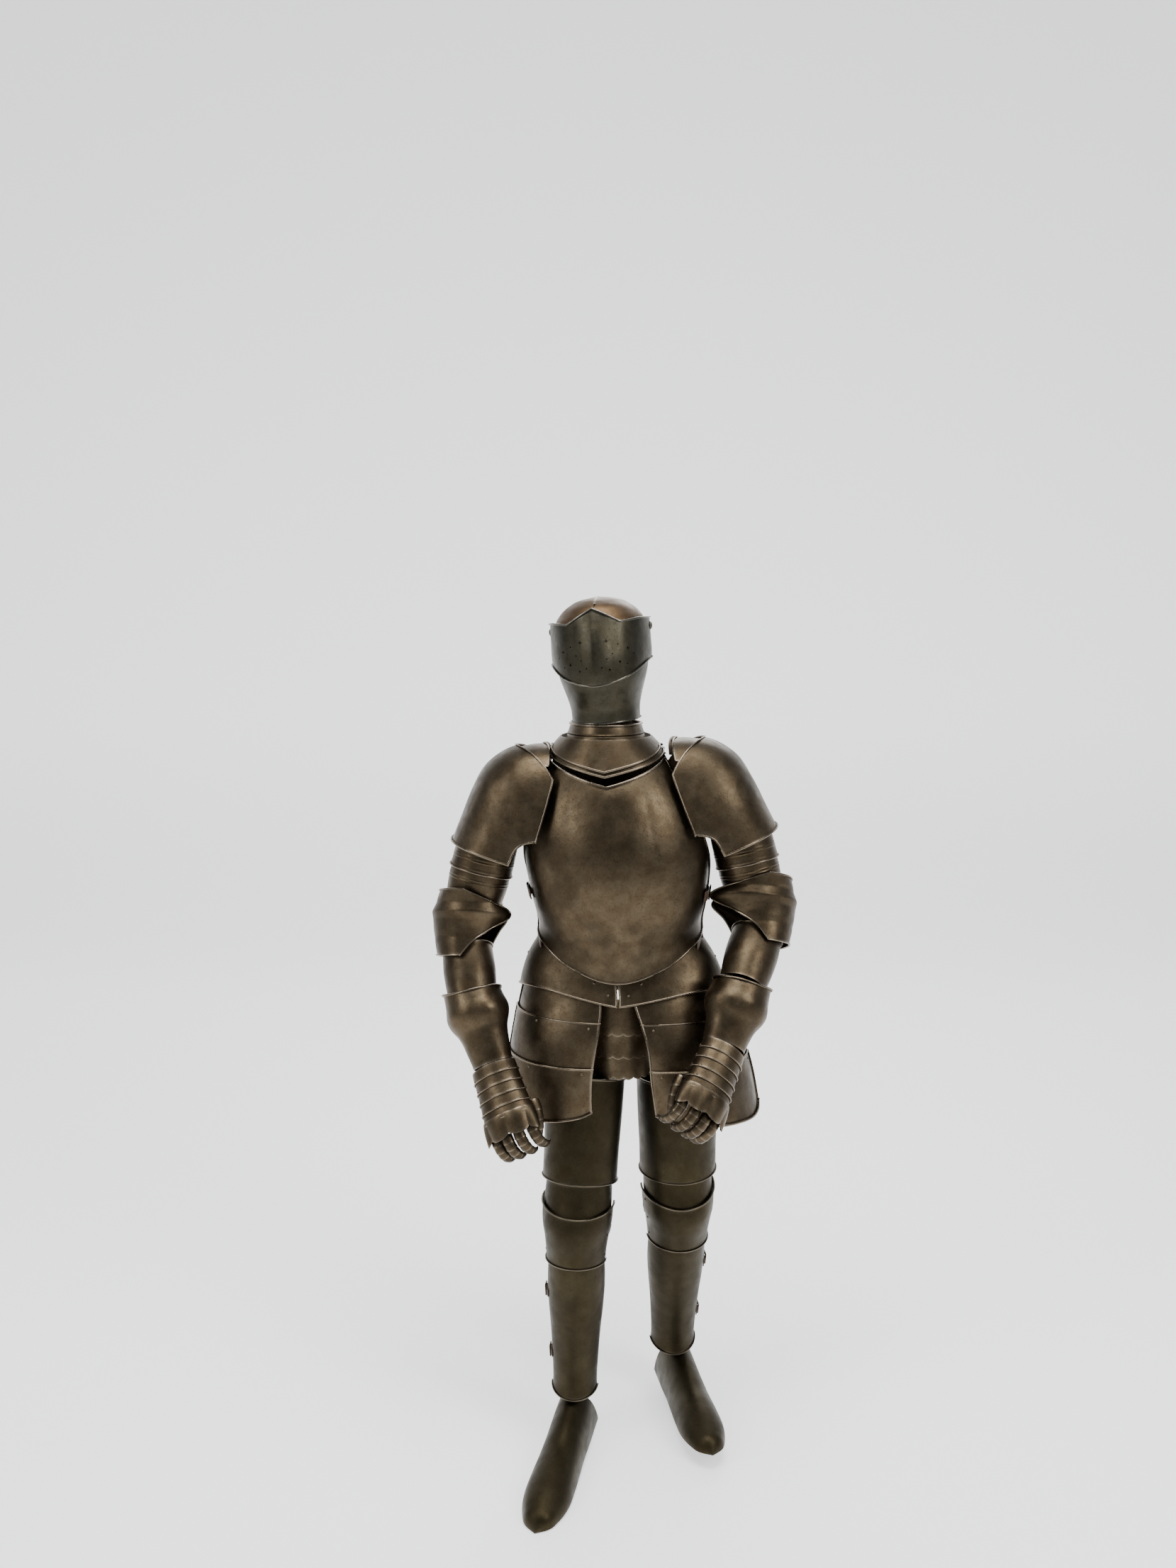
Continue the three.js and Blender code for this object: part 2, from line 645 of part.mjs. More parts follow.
function addArm(word) {
  const arm = arms[word];
  const { side } = arm;
  const add = (parent, name, form, options) => {
    const spec = { wall: limbWall, side, ...options };
    addPlate(parent, `${name}_${word}`, steel.limb, plateGeometry(form, spec));
  };
  const upper = limbGroup(arm.shoulder, arm.elbow, arm.facing);
  const ring = { ring: true, columns: 12 };
  add(upper, 'rerebrace_upper', rerebraceForm, { low: -180, high: -84, rows: 1, lift: limbWall + seam, ...ring });
  add(upper, 'rerebrace_lower', rerebraceForm, { low: -244, high: -168, rows: 1, ...ring });

  const middle = arm.shoulder.clone().sub(arm.elbow).normalize();
  middle.add(arm.elbow.clone().sub(arm.cuff).normalize()).normalize();
  const elbow = limbGroup(arm.elbow, arm.elbow.clone().sub(middle), arm.facing);
  add(elbow, 'couter', couterFormWith(arm.wingTrim), { low: -50, high: 86, columns: 12, rows: 6, lift: 1 });

  const forearm = limbGroup(arm.elbow, arm.cuff, arm.facing);
  add(forearm, 'vambrace', vambraceForm, { low: -160, high: -36, rows: 2, ...ring });

  const gauntlet = limbGroup(arm.cuff, arm.wrist, arm.handFacing);
  const cuffLength = arm.cuff.distanceTo(arm.wrist);
  add(gauntlet, 'gauntlet_cuff', cuffForm, { low: -cuffLength + 12, high: cuffTop, rows: 5, ...ring });

  const hand = limbGroup(arm.wrist, arm.knuckles, arm.handFacing);
  const thin = { wall: handWall };
  add(hand, 'hand_plate', handForm, { low: -106, high: 4, columns: 8, rows: 3, ...thin });
  const knuckles = { low: -142, high: -98, columns: 8, rows: 2, lift: handWall + seam };
  add(hand, 'knuckle_plate', handForm, { ...knuckles, ...thin });
  for (let number = 1; number <= 4; number += 1) {
    const group = new THREE.Group();
    const fromMiddle = Math.abs(number - 2.5) - 0.5;
    group.position.set(side * finger.pitch * (number - 2.5), -10 + 9 * fromMiddle, -136 + 5 * fromMiddle);
    hand.add(group);
    addPlate(group, `finger_${number}_${word}`, steel.limb, fingerGeometry(finger, side));
  }
  const thumb = new THREE.Group();
  thumb.position.set(-side * 50, 26, -86);
  thumb.rotation.set(radians(-12), 0, -side * radians(50), 'ZYX');
  hand.add(thumb);
  const thumbSize = { width: 13, height: 12, curl: 56, bend: 70 };
  addPlate(thumb, `thumb_${word}`, steel.limb, fingerGeometry(thumbSize, side));
}

// ---------------------------------------------------------------- legs

const legs = {
  right: {
    side: -1,
    hip: place(-45, -5, 880),
    knee: place(-68, -108, 496),
    ankle: place(-73, -90, 115),
    heel: place(-73, -92, 30),
    toe: place(-147, -380, 12),
    facing: place(-0.12, -1, 0),
    girth: 0.97,
  },
  left: {
    side: 1,
    hip: place(148, 0, 880),
    knee: place(151, -10, 492),
    ankle: place(148, 85, 119),
    heel: place(158, 87, 32),
    toe: place(210, -190, 46),
    facing: place(0.14, -1, 0),
    girth: 1.02,
  },
};

const cuisseForm = [
  { z: -80, side: 84, front: 86, back: 82 },
  { z: -170, side: 82, front: 84, back: 80 },
  { z: -240, side: 79, front: 81, back: 76 },
  { z: -310, side: 78, front: 79, back: 72 },
];
const cuisseBottom = [
  { u: 0, z: -290 },
  { u: 0.5, z: -306 },
  { u: 0.75, z: -296 },
  { u: 1, z: -290 },
];
const poleynForm = [
  { z: 110, y: 13, side: 74, front: 75, start: -96, end: 100 },
  { z: 70, y: 8, side: 77, front: 79, start: -97, end: 104 },
  { z: 40, y: 3, side: 77, front: 84, start: -98, end: 116 },
  { z: 10, side: 75, front: 88, start: -98, end: 124 },
  { z: -14, side: 70, front: 86, start: -98, end: 118 },
  { z: -42, side: 66, front: 78, start: -97, end: 104 },
  { z: -66, side: 64, front: 72, start: -95, end: 98 },
].map((row) => ({ ...row, back: 66 }));
const poleynTop = [
  { u: 0, z: 52 },
  { u: 0.45, z: 38 },
  { u: 1, z: 60 },
];
const greaveForm = [
  { z: -34, side: 53, front: 52, back: 52 },
  { z: -80, side: 58, front: 55, back: 62 },
  { z: -130, side: 59, front: 53, back: 68 },
  { z: -180, side: 56, front: 50, back: 64 },
  { z: -235, side: 51, front: 46, back: 55 },
  { z: -295, side: 47, front: 43, back: 46 },
  { z: -345, side: 45, front: 44, back: 44 },
  { z: -380, side: 46, front: 50, back: 46 },
  { z: -450, side: 40, front: 50, back: 50 },
];
const greaveFront = greaveForm.map((row) => ({ ...row, start: -92, end: 92 }));
const greaveBack = greaveForm.map((row) => ({ ...row, start: 85, end: 275 }));
const greaveFrontBottom = [
  { u: 0, z: -362 },
  { u: 0.5, z: -370 },
  { u: 1, z: -362 },
];
const greaveBackBottom = [
  { u: 0, z: -366 },
  { u: 0.5, z: -436 },
  { u: 1, z: -366 },
];

// The foot's form lies along the sole: z runs forward from below the ankle (0) to the toe (negative),
// and its front is the top of the foot.
const sabatonForm = [
  { z: 46, side: 42, front: 96 },
  { z: 0, side: 43, front: 98 },
  { z: -42, side: 44, front: 86 },
  { z: -85, side: 44, front: 74 },
  { z: -130, side: 46, front: 60 },
  { z: -180, side: 48, front: 52 },
  { z: -225, side: 47, front: 44 },
  { z: -262, side: 37, front: 34 },
  { z: -286, side: 23, front: 22 },
  { z: -300, side: 0, front: 0 },
].map((row) => ({ ...row, back: 0.1 * row.front, start: -92, end: 92 }));
const sabatonHeelEdge = [
  { u: 0, z: 40 },
  { u: 0.25, z: 6 },
  { u: 0.5, z: -36 },
  { u: 0.75, z: 6 },
  { u: 1, z: 40 },
];

function sabatonGeometry(side) {
  const options = { low: -300, high: sabatonHeelEdge, columns: 8, rows: 8, wall: limbWall, side };
  return plateGeometry(sabatonForm, options);
}

function addLeg(word) {
  const leg = legs[word];
  const { side, girth } = leg;
  const sized = (form) => form.map((row) => ({ ...row, side: row.side * girth }));
  const add = (parent, name, form, options) => {
    const spec = { wall: limbWall, side, ...options };
    addPlate(parent, `${name}_${word}`, steel.leg, plateGeometry(sized(form), spec));
  };
  const thigh = limbGroup(leg.hip, leg.knee, leg.facing);
  add(thigh, 'cuisse', cuisseForm, { low: cuisseBottom, high: -92, rows: 3, ring: true, columns: 16, lift: 3 });

  const middle = leg.hip.clone().sub(leg.knee).normalize();
  middle.add(leg.knee.clone().sub(leg.ankle).normalize()).normalize();
  const knee = limbGroup(leg.knee, leg.knee.clone().sub(middle), leg.facing);
  add(knee, 'poleyn_lame', poleynForm, { low: 32, high: 100, columns: 10, rows: 2, lift: -4 });
  add(knee, 'poleyn', poleynForm, { low: -66, high: poleynTop, columns: 10, rows: 5 });

  const shin = limbGroup(leg.knee, leg.ankle, leg.facing);
  add(shin, 'greave_front', greaveFront, {
    low: greaveFrontBottom, high: -50, columns: 8, rows: 5, lift: 3.6,
  });
  add(shin, 'greave_back', greaveBack, { low: greaveBackBottom, high: -46, columns: 8, rows: 5 });

  const foot = limbGroup(leg.heel, leg.toe, place(0, 0, 1));
  addPlate(foot, `sabaton_${word}`, steel.leg, sabatonGeometry(side));
}

addHelmet();
addTorso();
for (const word of ['right', 'left']) {
  addPauldron(word);
  addArm(word);
  addLeg(word);
}

export default suit;
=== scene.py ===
import bisect
import json
import math

import bmesh
import bpy
from mathutils import Matrix, Vector

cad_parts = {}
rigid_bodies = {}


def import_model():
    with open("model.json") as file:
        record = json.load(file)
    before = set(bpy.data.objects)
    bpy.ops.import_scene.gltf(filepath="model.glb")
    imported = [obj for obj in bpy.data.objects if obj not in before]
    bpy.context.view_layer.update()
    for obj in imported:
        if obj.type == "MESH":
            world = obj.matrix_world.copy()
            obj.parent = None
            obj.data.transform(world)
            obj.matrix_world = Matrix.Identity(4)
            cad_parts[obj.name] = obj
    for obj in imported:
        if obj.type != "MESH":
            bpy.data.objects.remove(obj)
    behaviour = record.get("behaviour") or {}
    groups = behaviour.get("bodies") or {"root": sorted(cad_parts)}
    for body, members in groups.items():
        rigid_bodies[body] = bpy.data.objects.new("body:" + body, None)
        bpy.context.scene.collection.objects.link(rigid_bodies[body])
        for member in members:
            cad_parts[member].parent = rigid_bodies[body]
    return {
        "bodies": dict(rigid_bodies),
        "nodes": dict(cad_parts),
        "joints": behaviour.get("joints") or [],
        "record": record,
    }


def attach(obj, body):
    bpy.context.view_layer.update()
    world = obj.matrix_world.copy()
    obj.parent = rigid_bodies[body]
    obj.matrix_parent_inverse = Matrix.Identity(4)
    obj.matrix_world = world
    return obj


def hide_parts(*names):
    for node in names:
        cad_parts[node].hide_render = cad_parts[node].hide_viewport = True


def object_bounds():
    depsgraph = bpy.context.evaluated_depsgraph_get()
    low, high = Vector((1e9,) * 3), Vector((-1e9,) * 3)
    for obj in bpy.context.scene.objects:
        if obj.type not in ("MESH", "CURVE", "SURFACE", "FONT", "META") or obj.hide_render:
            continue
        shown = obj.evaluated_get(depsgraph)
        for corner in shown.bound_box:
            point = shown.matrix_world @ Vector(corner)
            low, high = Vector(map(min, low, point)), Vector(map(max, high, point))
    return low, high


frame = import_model()
cadBounds = [list(corner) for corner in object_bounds()]
print("frame loaded:", len(frame["nodes"]), "plates")

# A suit of plate armour, empty, in its worn pose. Sizes below are in millimetres, counted from the
# ground, and place() turns them into metres in the part's frame.
mm = 0.001
originHeight = 1440
bodyWall = 1.8
limbWall = 1.4
handWall = 1.1
seam = 1.0
sides = {"right": -1, "left": 1}


def table(columns, *rows):
    names = columns.split()
    return [dict(zip(names, row)) for row in rows]


# Smooth tables, forms and sheets.

# A smooth reading of one column through all its rows.
def smooth(rows, key, column, fallback=0.0):
    knots = sorted((row[key], row.get(column, fallback)) for row in rows)
    at = [knot[0] for knot in knots]
    value = [knot[1] for knot in knots]
    slope = [(value[i + 1] - value[i]) / (at[i + 1] - at[i]) for i in range(len(at) - 1)]
    tangent = [slope[0]] + [(a + b) / 2 for a, b in zip(slope, slope[1:])] + [slope[-1]]

    def read(where):
        if where <= at[0]:
            return value[0]
        if where >= at[-1]:
            return value[-1]
        i = bisect.bisect_right(at, where) - 1
        span = at[i + 1] - at[i]
        t = (where - at[i]) / span
        first = (2 * t**3 - 3 * t**2 + 1) * value[i] + (t**3 - 2 * t**2 + t) * tangent[i] * span
        return first + (3 * t**2 - 2 * t**3) * value[i + 1] + (t**3 - t**2) * tangent[i + 1] * span

    return read


# An edge that runs straight from each of its points to the next.
def veeEdge(columns, *rows):
    rows = table(columns, *rows)

    def height(u):
        above = next((i for i, row in enumerate(rows) if row["u"] >= u and i), len(rows) - 1)
        low, high = rows[above - 1], rows[above]
        return low["z"] + (high["z"] - low["z"]) * (u - low["u"]) / (high["u"] - low["u"])

    return height


def edgeOf(edge):
    if callable(edge):
        return edge
    if isinstance(edge, (int, float)):
        return lambda u: edge
    return smooth(edge, "u", "z")


def signedPower(value, power):
    return math.copysign(abs(value) ** power, value)


formDefaults = dict(x=0, y=0, side=0, front=0, back=0, keel=0, round=2, start=-180, end=180)


# u runs round the plate from its start to its end, v from its lower edge to its upper edge.
def formSurface(form, low, high, side=1, dome=False, relief=None):
    key = "v" if "v" in form[0] else "z"
    column = {name: smooth(form, key, name, fallback) for name, fallback in formDefaults.items()}
    lowEdge, highEdge = edgeOf(low), edgeOf(high)

    def point(u, v, lift=0.0):
        rise = math.sin(v * math.pi / 2) if dome else v
        z = lowEdge(u) + (highEdge(u) - lowEdge(u)) * rise
        at = z if key == "z" else v
        angle = column["start"](at) + (column["end"](at) - column["start"](at)) * u
        if relief:
            lift += relief(u, v, angle, z)
        turn = math.radians(angle)
        power = 2 / column["round"](at)
        across = signedPower(math.sin(turn), power)
        along = signedPower(math.cos(turn), power)
        depth = (column["front"](at) if along > 0 else column["back"](at)) + lift
        ridge = column["keel"](at) * max(0, 1 - abs(angle) / 24)
        x = column["x"](at) + (column["side"](at) + lift) * across
        return Vector((x * side, column["y"](at) - depth * along - ridge, z))

    return point


def outwardAt(surface, u, v, side, lift=0.0):
    step = 0.004
    low, high = max(0, v - step), min(1, v + step)
    round_ = surface(min(1, u + step), v, lift) - surface(max(0, u - step), v, lift)
    up = surface(u, high, lift) - surface(u, low, lift)
    normal = round_.cross(up) * side
    return normal.normalized() if normal.length > 1e-9 else Vector((0, 0, 1))


rollSteps = 6


# One sheet of a surface, between the span's edges, with its edges rolled outwards where rolls gives a
# radius. It goes into the bmesh with its own lengths as UVs, and edge is how far the finish paints it lighter near its
# rims: partly rubbed bare steel, partly a painted highlight.
def addSheet(bm, surface, place, side=1, columns=48, rows=32, span=(0, 1, 0, 1), lift=0.0, rolls=None,
             rollTurn=235, ring=False):
    rolls = rolls or {}
    u0, u1, v0, v1 = span
    before = {name: rollSteps if rolls.get(name) else 0 for name in ("start", "end", "low", "high")}
    across = columns + before["start"] + before["end"]
    upward = rows + before["low"] + before["high"]
    uvLayer = bm.loops.layers.uv.verify()
    edgeLayer = bm.verts.layers.float.get("edge") or bm.verts.layers.float.new("edge")
    made = bmesh.ops.create_grid(bm, x_segments=across, y_segments=upward, size=0.5)["verts"]
    middle = (u0 + u1) / 2
    length = sum((surface(u0 + (u1 - u0) * (n + 1) / 16, 0.5, lift)
                  - surface(u0 + (u1 - u0) * n / 16, 0.5, lift)).length
                 for n in range(16))
    height = sum((surface(middle, v0 + (v1 - v0) * (n + 1) / 12, lift)
                  - surface(middle, v0 + (v1 - v0) * n / 12, lift)).length
                 for n in range(12))
    where = {}
    for vert in made:
        i = round((vert.co.x + 0.5) * across) - before["start"]
        j = round((vert.co.y + 0.5) * upward) - before["low"]
        overU = i if i < 0 else max(0, i - columns)
        overV = j if j < 0 else max(0, j - rows)
        u = u0 + (u1 - u0) * min(max(i, 0), columns) / columns
        v = v0 + (v1 - v0) * min(max(j, 0), rows) / rows
        point = surface(u, v, lift)
        if overU or overV:
            normal = outwardAt(surface, u, v, side, lift)
            for over, name, du, dv in (
                (overU, "start" if overU < 0 else "end", -0.01 if overU < 0 else 0.01, 0),
                (overV, "low" if overV < 0 else "high", 0, -0.01 if overV < 0 else 0.01),
            ):
                if not over:
                    continue
                away = surface(u, v, lift) - surface(u - du, v - dv, lift)
                away = (away - normal * away.dot(normal)).normalized()
                angle = math.radians(rollTurn * abs(over) / rollSteps)
                radius = rolls[name]
                point = point + normal * radius * (1 - math.cos(angle)) + away * radius * math.sin(angle)
        # edge is 1 on the rolls and fades over about 3 mm inwards. The finish paints these rims lighter, partly as worn
        # bare steel and partly as a painted highlight.
        fromEdge = min(
            999 if ring else (u - u0) / (u1 - u0) * length,
            999 if ring else (u1 - u) / (u1 - u0) * length,
            (v - v0) / (v1 - v0) * height,
            (v1 - v) / (v1 - v0) * height,
        )
        vert[edgeLayer] = 1.0 if overU or overV else math.exp(-fromEdge / 3.0)
        where[vert] = (((u - middle) / (u1 - u0) * length) * mm, (v - v0) / (v1 - v0) * height * mm)
        vert.co = place @ point
    for face in {face for vert in made for face in vert.link_faces}:
        for loop in face.loops:
            loop[uvLayer].uv = where[loop.vert]
    if side < 0:
        bmesh.ops.reverse_faces(bm, faces=list({face for vert in made for face in vert.link_faces}))


def finishPiece(name, bm, material, body="suit", wall=0.0, nodes=(), bevel=0.35, angle=40):
    bmesh.ops.remove_doubles(bm, verts=bm.verts, dist=2e-5)
    mesh = bpy.data.meshes.new(name)
    bm.to_mesh(mesh)
    bm.free()
    mesh.shade_smooth()
    mesh.materials.append(material)
    piece = bpy.data.objects.new(name, mesh)
    bpy.context.scene.collection.objects.link(piece)
    if wall:
        shell = piece.modifiers.new("wall", "SOLIDIFY")
        shell.thickness = wall * mm
        shell.offset = -1
        rounding = piece.modifiers.new("softEdges", "BEVEL")
        rounding.width = bevel * mm
        rounding.segments = 2
        rounding.limit_method = "ANGLE"
        rounding.angle_limit = math.radians(angle)
        rounding.harden_normals = True
    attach(piece, body)
    if nodes:
        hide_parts(*nodes)
    return piece


def groundPlace(matrix=None):
    return Matrix.Diagonal((mm, mm, mm, 1)) @ Matrix.Translation((0, 0, -originHeight)) @ (matrix or Matrix())


# A limb hangs from one joint towards the next, its front turned towards facing.
def limbPlace(fromJoint, toJoint, facing):
    start, end = Vector(fromJoint), Vector(toJoint)
    up = (start - end).normalized()
    back = -Vector(facing)
    back = (back - up * back.dot(up)).normalized()
    across = back.cross(up)
    turn = Matrix((across, back, up)).transposed().to_4x4()
    return Matrix.Translation(start) @ turn


# The finishes.

def addNode(tree, kind, inputs=None, **values):
    made = tree.nodes.new(kind)
    for name, value in values.items():
        setattr(made, name, value)
    for socket, value in (inputs or {}).items():
        target = made.inputs[socket]
        if isinstance(value, bpy.types.NodeSocket):
            tree.links.new(value, target)
        else:
            target.default_value = value
    return made


def addMath(tree, operation, *values, clamp=False):
    made = addNode(tree, "ShaderNodeMath", dict(enumerate(values)), operation=operation, use_clamp=clamp)
    return made.outputs[0]


def addRange(tree, value, low, high, toLow=0.0, toHigh=1.0):
    inputs = {"Value": value, "From Min": low, "From Max": high, "To Min": toLow, "To Max": toHigh}
    made = addNode(tree, "ShaderNodeMapRange", inputs, interpolation_type="SMOOTHSTEP")
    return made.outputs["Result"]


def addNoise(tree, vector, scale, detail=3.0, rough=0.55, warp=0.0):
    inputs = {"Vector": vector, "Scale": scale, "Detail": detail, "Roughness": rough, "Distortion": warp}
    return addNode(tree, "ShaderNodeTexNoise", inputs).outputs["Fac"]


def addMix(tree, factor, first, second):
    made = addNode(tree, "ShaderNodeMix", data_type="RGBA")
    for socket, value in ((made.inputs[0], factor), (made.inputs[6], first), (made.inputs[7], second)):
        if isinstance(value, bpy.types.NodeSocket):
            tree.links.new(value, socket)
        else:
            socket.default_value = value if isinstance(value, float) else (*value, 1.0)
    return made.outputs[2]


# Curling stems: every cell of the pattern winds a spiral round its own centre, and smaller cells set
# leaves and buds between them.
def addScrolls(tree, flat, size, line):
    cells = addNode(tree, "ShaderNodeTexVoronoi", {"Vector": flat, "Scale": 1 / size, "Randomness": 0.75},
                    voronoi_dimensions="2D")
    local = addNode(tree, "ShaderNodeVectorMath", {0: flat, 1: cells.outputs["Position"]}, operation="SUBTRACT")
    parts = addNode(tree, "ShaderNodeSeparateXYZ", {0: local.outputs[0]})
    turn = addMath(tree, "ARCTAN2", parts.outputs["Y"], parts.outputs["X"])
    reach = addMath(tree, "MULTIPLY", cells.outputs["Distance"], 2 * math.pi * 2.6)
    handed = addNode(tree, "ShaderNodeSeparateColor", {0: cells.outputs["Color"]}).outputs[0]
    wound = addMath(tree, "MULTIPLY", turn, addMath(tree, "SIGN", addMath(tree, "SUBTRACT", handed, 0.5)))
    wave = addMath(tree, "SINE", addMath(tree, "ADD", reach, wound))
    stems = addRange(tree, wave, line, line + 0.25)
    leaves = addNode(tree, "ShaderNodeTexVoronoi", {"Vector": flat, "Scale": 3.2 / size, "Randomness": 1.0},
                     voronoi_dimensions="2D")
    buds = addRange(tree, leaves.outputs["Distance"], 0.34, 0.24)
    veins = addNode(tree, "ShaderNodeTexVoronoi", {"Vector": flat, "Scale": 1 / size, "Randomness": 0.75},
                    voronoi_dimensions="2D", feature="DISTANCE_TO_EDGE")
    borders = addRange(tree, veins.outputs["Distance"], 0.05, 0.02)
    return addMath(tree, "MAXIMUM", addMath(tree, "MAXIMUM", stems, addMath(tree, "MULTIPLY", buds, 0.8)),
                   addMath(tree, "MULTIPLY", borders, 0.6))


def etchedSteel(name, look):
    material = bpy.data.materials.new(name)
    material.use_nodes = True
    tree = material.node_tree
    tree.nodes.clear()
    out = addNode(tree, "ShaderNodeOutputMaterial")
    steel = addNode(tree, "ShaderNodeBsdfPrincipled")
    tree.links.new(steel.outputs[0], out.inputs[0])
    where = addNode(tree, "ShaderNodeTexCoord").outputs["Object"]
    flatMap = addNode(tree, "ShaderNodeUVMap", uv_map="UVMap").outputs["UV"]
    edge = addNode(tree, "ShaderNodeAttribute", attribute_name="edge").outputs["Fac"]
    wander = addNode(tree, "ShaderNodeTexNoise", {"Vector": flatMap, "Scale": 60.0, "Detail": 1.0})
    drift = addNode(tree, "ShaderNodeVectorMath", {0: wander.outputs["Color"], 1: (0.5, 0.5, 0.5)},
                    operation="SUBTRACT")
    drift = addNode(tree, "ShaderNodeVectorMath", {0: drift.outputs[0], "Scale": 0.004}, operation="SCALE")
    flat = addNode(tree, "ShaderNodeVectorMath", {0: flatMap, 1: drift.outputs[0]}, operation="ADD").outputs[0]
    scrolls = addScrolls(tree, flat, look["scrollSize"], look["lineWidth"])
    fine = addScrolls(tree, flat, look["scrollSize"] * 0.42, 0.45)
    rubbed = addRange(tree, addNoise(tree, where, 9.0, 4.0), 0.38, 0.62)
    etched = addMath(tree, "MAXIMUM", scrolls, addMath(tree, "MULTIPLY", fine, 0.55))
    etched = addMath(tree, "MULTIPLY", etched, addMath(tree, "MULTIPLY_ADD", rubbed, 0.6, 0.4))
    # Painted highlight and wear on the rims: towards the edges the colour turns to a lighter bare-steel tone, the
    # etching fades and the steel gets a little glossier.
    rimWearAndHighlight = addMath(tree, "POWER", edge, 1.6)
    etched = addMath(tree, "MULTIPLY", etched, addMath(tree, "SUBTRACT", 1.0, rimWearAndHighlight))
    blotch = addRange(tree, addNoise(tree, where, 34.0, 5.0, 0.65), 0.3, 0.72)
    speck = addRange(tree, addNoise(tree, where, 260.0, 3.0, 0.6), 0.5, 0.72)
    tone = addMix(tree, blotch, look["brown"], look["grey"])
    tone = addMix(tree, addMath(tree, "MULTIPLY", speck, 0.35), tone, look["dark"])
    tone = addMix(tree, addMath(tree, "MULTIPLY", etched, look["etch"]), tone, look["dark"])
    # The rims are painted lighter here: partly rubbed bare steel, partly a painted highlight.
    tone = addMix(tree, addMath(tree, "MULTIPLY", rimWearAndHighlight, look["rim"]), tone, look["bareAndHighlight"])
    tree.links.new(tone, steel.inputs["Base Color"])
    steel.inputs["Metallic"].default_value = 1.0
    gloss = addRange(tree, addNoise(tree, where, 30.0, 4.0), 0.3, 0.7, look["rough"] - 0.07, look["rough"] + 0.07)
    gloss = addMath(tree, "MULTIPLY_ADD", etched, 0.16, gloss)
    gloss = addMath(tree, "MULTIPLY_ADD", rimWearAndHighlight, -0.08, gloss)
    tree.links.new(gloss, steel.inputs["Roughness"])
    hammered = addNoise(tree, where, 26.0, 2.0, 0.5)
    bump = addNode(tree, "ShaderNodeBump", {"Strength": 0.5, "Distance": 0.0016, "Height": hammered})
    sunk = addMath(tree, "SUBTRACT", 0.0, speck)
    pits = addNode(tree, "ShaderNodeBump", {"Strength": 0.25, "Distance": 0.0003, "Height": sunk,
                                            "Normal": bump.outputs[0]})
    groove = addMath(tree, "SUBTRACT", 0.0, etched)
    cut = addNode(tree, "ShaderNodeBump", {"Strength": 0.5, "Distance": 0.0004, "Height": groove,
                                           "Normal": pits.outputs[0]})
    tree.links.new(cut.outputs[0], steel.inputs["Normal"])
    return material


# bareAndHighlight is the lighter tone painted on rims and rivet heads, partly worn bare steel and partly a painted
# highlight. rim is how much of it is used.
steelLooks = {
    "body": dict(scrollSize=0.015, lineWidth=0.32, etch=0.95, rough=0.34, rim=0.2,
                 brown=(0.088, 0.062, 0.036), grey=(0.118, 0.091, 0.057),
                 dark=(0.012, 0.009, 0.006), bareAndHighlight=(0.36, 0.31, 0.25)),
    "visor": dict(scrollSize=0.014, lineWidth=0.3, etch=0.4, rough=0.33, rim=0.2,
                  brown=(0.043, 0.037, 0.024), grey=(0.054, 0.05, 0.036),
                 dark=(0.012, 0.011, 0.008), bareAndHighlight=(0.36, 0.33, 0.28)),
    "skull": dict(scrollSize=0.02, lineWidth=0.4, etch=0.25, rough=0.4, rim=0.2,
                  brown=(0.09, 0.054, 0.027), grey=(0.108, 0.071, 0.04),
                 dark=(0.06, 0.038, 0.022), bareAndHighlight=(0.4, 0.33, 0.25)),
    "leg": dict(scrollSize=0.011, lineWidth=0.3, etch=0.7, rough=0.42, rim=0.22,
                brown=(0.036, 0.028, 0.014), grey=(0.045, 0.037, 0.021),
                 dark=(0.02, 0.015, 0.01), bareAndHighlight=(0.3, 0.26, 0.2)),
}
bodySteel = etchedSteel("etchedBodySteel", steelLooks["body"])
visorSteel = etchedSteel("visorSteel", steelLooks["visor"])
skullSteel = etchedSteel("skullSteel", steelLooks["skull"])
legSteel = etchedSteel("legSteel", steelLooks["leg"])


# Worn brown leather with a fine grain.
def strapMaterial():
    material = bpy.data.materials.new("strapLeather")
    material.use_nodes = True
    tree = material.node_tree
    shader = tree.nodes["Principled BSDF"]
    where = addNode(tree, "ShaderNodeTexCoord").outputs["Object"]
    grain = addNoise(tree, where, 420.0, 3.0)
    wear = addRange(tree, addNoise(tree, where, 40.0, 4.0), 0.3, 0.7)
    tone = addMix(tree, wear, (0.045, 0.022, 0.012), (0.085, 0.045, 0.024))
    tree.links.new(tone, shader.inputs["Base Color"])
    shader.inputs["Roughness"].default_value = 0.62
    bump = addNode(tree, "ShaderNodeBump", {"Strength": 0.5, "Distance": 0.0004, "Height": grain})
    tree.links.new(bump.outputs[0], shader.inputs["Normal"])
    return material


strapLeather = strapMaterial()
print("finishes made")


def addRivet(bm, point, normal, radius=3.0, height=1.8):
    turn = Vector(normal).to_track_quat("Z", "Y").to_matrix().to_4x4()
    shape = Matrix.Diagonal((1, 1, height / radius, 1))
    edgeLayer = bm.verts.layers.float.get("edge") or bm.verts.layers.float.new("edge")
    made = bmesh.ops.create_uvsphere(bm, u_segments=12, v_segments=8, radius=radius * mm,
                                     matrix=Matrix.Translation(point) @ turn @ shape)["verts"]
    # The rivet heads take most of the lighter rim tone: partly rubbed bare steel, partly a painted highlight.
    for vert in made:
        vert[edgeLayer] = 0.75


# Rivets on a sheet, at u and v of its surface.
def rivetsOn(name, surface, place, side, spots, lift=0.0, radius=3.0, height=1.8, material=None,
             body="suit"):
    bm = bmesh.new()
    for u, v in spots:
        point = place @ surface(u, v, lift)
        normal = (place.to_3x3() @ outwardAt(surface, u, v, side, lift)).normalized()
        addRivet(bm, point, normal, radius, height)
    return finishPiece(name, bm, material or bodySteel, body)


breathRadius = 1.5


